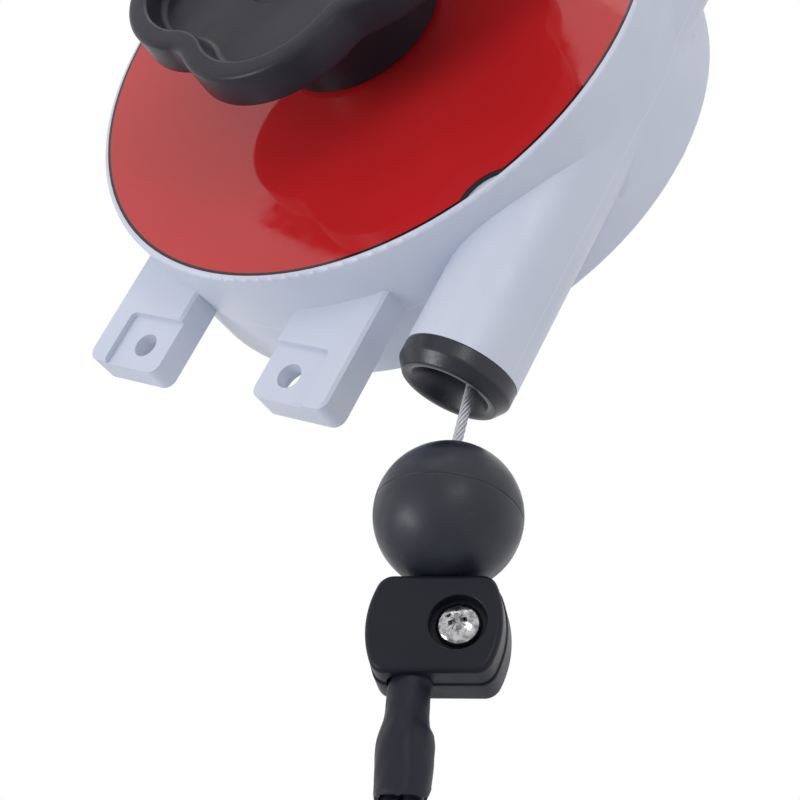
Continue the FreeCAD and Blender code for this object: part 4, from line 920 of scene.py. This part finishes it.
def clampBlank(depth, edge, smaller, front):
    sizes = clampSizes
    half = sizes["height"] / 2 - smaller
    side = sizes["endWidth"] / 2 - smaller
    swell = (sizes["width"] - sizes["endWidth"]) / 2
    bow = (half * half + swell * swell) / (2 * swell)
    middle = side + swell - bow
    corner, steps = sizes["corner"], sizes["cornerSteps"]
    inset = middle + math.sqrt((bow - corner) ** 2 - (half - corner) ** 2)  # where a corner's arc is centred
    lean = math.atan2(half - corner, inset - middle)
    bm = bmesh.new()
    ends = []
    for turn in (1, -1):  # each side is a corner's arc, the swelling side and the other corner's arc
        start = bm.verts.new(Vector((turn * inset, 0, -turn * half)) * mm)
        last = sweepVert(bm, start, (turn * inset, -turn * (half - corner)), math.pi / 2 - lean, steps)
        last = sweepVert(bm, last, (turn * middle, 0), 2 * lean, sizes["sideSteps"])
        last = sweepVert(bm, last, (turn * inset, turn * (half - corner)), math.pi / 2 - lean, steps)
        ends.append((start, last))
    bm.edges.new((ends[0][1], ends[1][0]))
    bm.edges.new((ends[1][1], ends[0][0]))
    bmesh.ops.remove_doubles(bm, verts=bm.verts, dist=1e-7)
    face = bmesh.ops.contextual_create(bm, geom=list(bm.edges))["faces"][0]
    grown = bmesh.ops.extrude_face_region(bm, geom=[face])["geom"]
    far = [item for item in grown if isinstance(item, bmesh.types.BMVert)]
    away = -depth if front else depth
    bmesh.ops.translate(bm, vec=(0, away * mm, 0), verts=far)
    for height, amount, segments in ((away, edge, 6), (0, sizes["seamEdge"], 2)):
        loop = [line for line in bm.edges if all(abs(vert.co.y - height * mm) < 1e-7 for vert in line.verts)]
        bmesh.ops.bevel(
            bm, geom=loop, offset=amount * mm, affect="EDGES", segments=segments, profile=0.5, material=-1,
        )
    bmesh.ops.translate(bm, vec=(sizes["ropeOffset"] * mm, 0, 0), verts=bm.verts)
    return bm


def makeClampHalf(name, node, depth, edge, smaller, front):
    sizes = clampSizes
    spare = 2  # how far a cutter reaches past the blank
    below = -(sizes["height"] / 2 + spare) * mm
    bore = roundBar(sizes["boreRadius"], sizes["height"] + 2 * spare, Matrix.Translation((0, 0, below)))
    seatPlace = Matrix.Translation((sizes["seatX"] * mm, 0, below))
    seat = roundBar(sizes["seatRadius"], sizes["seatDepth"] + spare, seatPlace, segments=80)
    lie = Matrix.Translation((sizes["screwX"] * mm, 0, 0)) @ Matrix.Rotation(math.radians(90), 4, "X")
    hole = roundBar(sizes["holeRadius"], 30, lie @ Matrix.Translation((0, 0, -15 * mm)))
    cutters = [bore, seat, hole]
    if front:
        floor = (depth - sizes["recessDepth"]) * mm
        radius, rim = sizes["recessRadius"], sizes["recessEdge"]
        cutters.append(roundBar(radius, 6, lie @ Matrix.Translation((0, 0, floor)), segments=96))
        lip = lie @ Matrix.Translation((0, 0, (depth - rim) * mm))
        cutters.append(roundBar(radius - 0.01, 2 * rim, lip, segments=96, end=radius + 2 * rim))
    else:
        floor = lie @ Matrix.Translation((0, 0, -(depth + 2 * spare) * mm))
        cutters.append(roundBar(sizes["nutRadius"], sizes["nutDepth"] + 2 * spare, floor, segments=6))
    bm = carve(clampBlank(depth, edge, smaller, front), cutters)
    bmesh.ops.transform(bm, matrix=clampPlace, verts=bm.verts)
    finishPiece(bm, name, "rope_end", "clamp", [node], sharp=28)


def makeClamp():
    sizes = clampSizes
    front, rear = (sizes["front"], sizes["frontEdge"], sizes["step"]), (sizes["rear"], sizes["rearEdge"], 0)
    makeClampHalf("clampFrontMoulding", "clamp_front", *front, True)
    makeClampHalf("clampRearMoulding", "clamp_rear", *rear, False)
    print("clamp halves made")


# Clamp screw: a domed head with a cross recess and fine ticks between its arms

screwSizes = {
    "x": 7.8,
    "seat": -3.06,
    "headRadius": 4.0,
    "headSide": 1.0,
    "dome": 1.3,
    "shankRadius": 1.95,
    "length": 7.8,
    "armWidth": 1.0,
    "armLength": 2.35,
    "recessDepth": 0.95,
    "turn": 14,
    "tickLength": 2.9,
    "tickWidth": 0.24,
    "steps": 96,
}


def screwArm(width, length, depth, turn, top):  # a tapered blade, wide at the head's top
    bm = bmesh.new()
    bmesh.ops.create_cube(bm, size=1)
    bmesh.ops.scale(bm, vec=(2 * length * mm, width * mm, depth * mm), verts=bm.verts)
    low = [vert for vert in bm.verts if vert.co.z < 0]
    bmesh.ops.scale(bm, vec=(0.42, 0.7, 1), verts=low)
    place = Matrix.Rotation(math.radians(turn), 4, "Z") @ Matrix.Translation((0, 0, (top - depth / 2) * mm))
    bmesh.ops.transform(bm, matrix=place, verts=bm.verts)
    return bm


def makeScrew():
    sizes = screwSizes
    head = sizes["headRadius"]
    top = sizes["headSide"] + sizes["dome"]
    bow = (head**2 + sizes["dome"] ** 2) / (2 * sizes["dome"])
    shank, low, side = sizes["shankRadius"], -sizes["length"], sizes["headSide"]
    profile = [(0, low), (shank - 0.4, low), (shank, low + 0.4), (shank, 0)]
    profile += [(head - 0.15, 0), (head, 0.15), (head, side - 0.3), (head - 0.08, side - 0.08)]
    for step in range(1, 15):
        radius = (head - 0.25) * (1 - step / 14)
        profile.append((radius, top - bow + math.sqrt(bow**2 - radius**2)))
    bm = bmesh.new()
    spinProfile(bm, profile, Matrix.Identity(4), steps=sizes["steps"])
    cutters = []
    for turn in (sizes["turn"], sizes["turn"] + 90):
        depth = sizes["recessDepth"] + 0.6
        cutters.append(screwArm(sizes["armWidth"], sizes["armLength"], depth, turn, top + 0.6))
        cutters.append(screwArm(sizes["tickWidth"], sizes["tickLength"], 1.0, turn + 45, top + 0.55))
    bm = carve(bm, cutters)
    seat = Matrix.Translation(Vector((sizes["x"], sizes["seat"], 0)) * mm)
    lie = seat @ Matrix.Rotation(math.radians(90), 4, "X")
    bmesh.ops.transform(bm, matrix=clampPlace @ lie, verts=bm.verts)
    finishPiece(bm, "clampScrewHead", "rope_end", "chrome", ["clamp_screw"], sharp=30)
    print("clamp screw made")


# Sleeve: a soft tube drawn over the ferrule, swollen below a shoulder and torn at one corner

sleeveSizes = {
    "top": -7.65,
    "bottom": -29.6,
    "neck": 3.7,
    "wide": 4.65,
    "wall": 0.7,
    "segments": 120,
    "rings": 90,
    "swellStart": -14.2,
    "swellEnd": -20.5,
    "bead": (0.05, -25.5, 2.0),  # a faint ring: how far out, its height, its width
    "mouth": (-0.18, 0.5),  # the end draws in: how far, over what height
    "shoulder": (0.5, 0.25, 0.7),  # how far out, about which angle, how wide
    "shoulderAt": -17.6,
    "folds": ((0.16, -1.25, 0.28), (-0.13, -0.75, 0.3)),
    "foldsFrom": (13, 19),
    "waves": ((0.05, 3, 0.35), (0.03, 8, -0.9)),  # how far, turns round, turns along
    "bend": -0.5,
    "raggedHeight": 3,
    "ragged": ((0.1, 5, 1), (0.05, 13, 0)),  # how far, turns round, start
    "tear": (2.0, 0.3, 0.4),  # how far up, about which angle, how wide
    "lip": (-0.5, -1.5, 0.9),
}


def smoothStep(low, high, value):
    share = min(1.0, max(0.0, (value - low) / (high - low)))
    return share * share * (3 - 2 * share)


def hump(value, height, middle, width):
    return height * math.exp(-(((value - middle) / width) ** 2))


def sleeveOutline():
    sizes = sleeveSizes
    outline = []
    for step in range(sizes["rings"] + 1):
        height = sizes["top"] - (sizes["top"] - sizes["bottom"]) * step / sizes["rings"]
        swell = smoothStep(-sizes["swellStart"], -sizes["swellEnd"], -height)
        radius = sizes["neck"] + (sizes["wide"] - sizes["neck"]) * swell
        radius += hump(height, *sizes["bead"])
        radius += hump(height, sizes["mouth"][0], sizes["bottom"], sizes["mouth"][1])
        outline.append((radius, height))
    inside = [(radius - sizes["wall"], height) for radius, height in reversed(outline)]
    return outline + inside


def sleevePush(angle, height):  # how far the wall stands out of the round
    sizes = sleeveSizes
    push = hump(angle, *sizes["shoulder"]) * smoothStep(-27.5, -23, height)
    push *= smoothStep(0.9, -0.6, height - sizes["shoulderAt"])
    low = smoothStep(*sizes["foldsFrom"], -height)
    for fold in sizes["folds"]:
        push += low * hump(angle, *fold)
    for amount, around, along in sizes["waves"]:
        push += amount * math.sin(around * angle + along * height)
    return push


def makeSleeve():
    sizes = sleeveSizes
    bm = bmesh.new()
    spinProfile(bm, sleeveOutline(), Matrix.Identity(4), steps=sizes["segments"])
    low = sizes["bottom"] + sizes["raggedHeight"]
    for vert in bm.verts:
        angle = math.atan2(vert.co.y, vert.co.x)
        height = vert.co.z / mm
        grow = 1 + sleevePush(angle, height) * mm / Vector((vert.co.x, vert.co.y)).length
        shift = sizes["bend"] * smoothStep(-8.5, -10.5, height) * (1 - smoothStep(-21, -28, height) * 0.8)
        vert.co.x = vert.co.x * grow + shift * mm
        vert.co.y *= grow
        if height < low:
            ragged = sum(amount * math.sin(around * angle + start) for amount, around, start in sizes["ragged"])
            ragged += hump(angle, *sizes["tear"]) + hump(angle, *sizes["lip"])
            vert.co.z += ragged * (low - height) / sizes["raggedHeight"] * mm
    bmesh.ops.transform(bm, matrix=clampPlace, verts=bm.verts)
    finishPiece(bm, "sleeveTube", "rope_end", "sleeve", ["rope_sleeve"], sharp=60, flat=False)
    print("sleeve made")


makeCamera()
makeWorld()
makeLamps()
makeFloorAndFlag()
makeFinishes()
makeRope()
makeThroatRope()
carryNodes()
makeKnob()
makePlate()
makeBush()
makeBall()
makeClamp()
makeScrew()
makeSleeve()
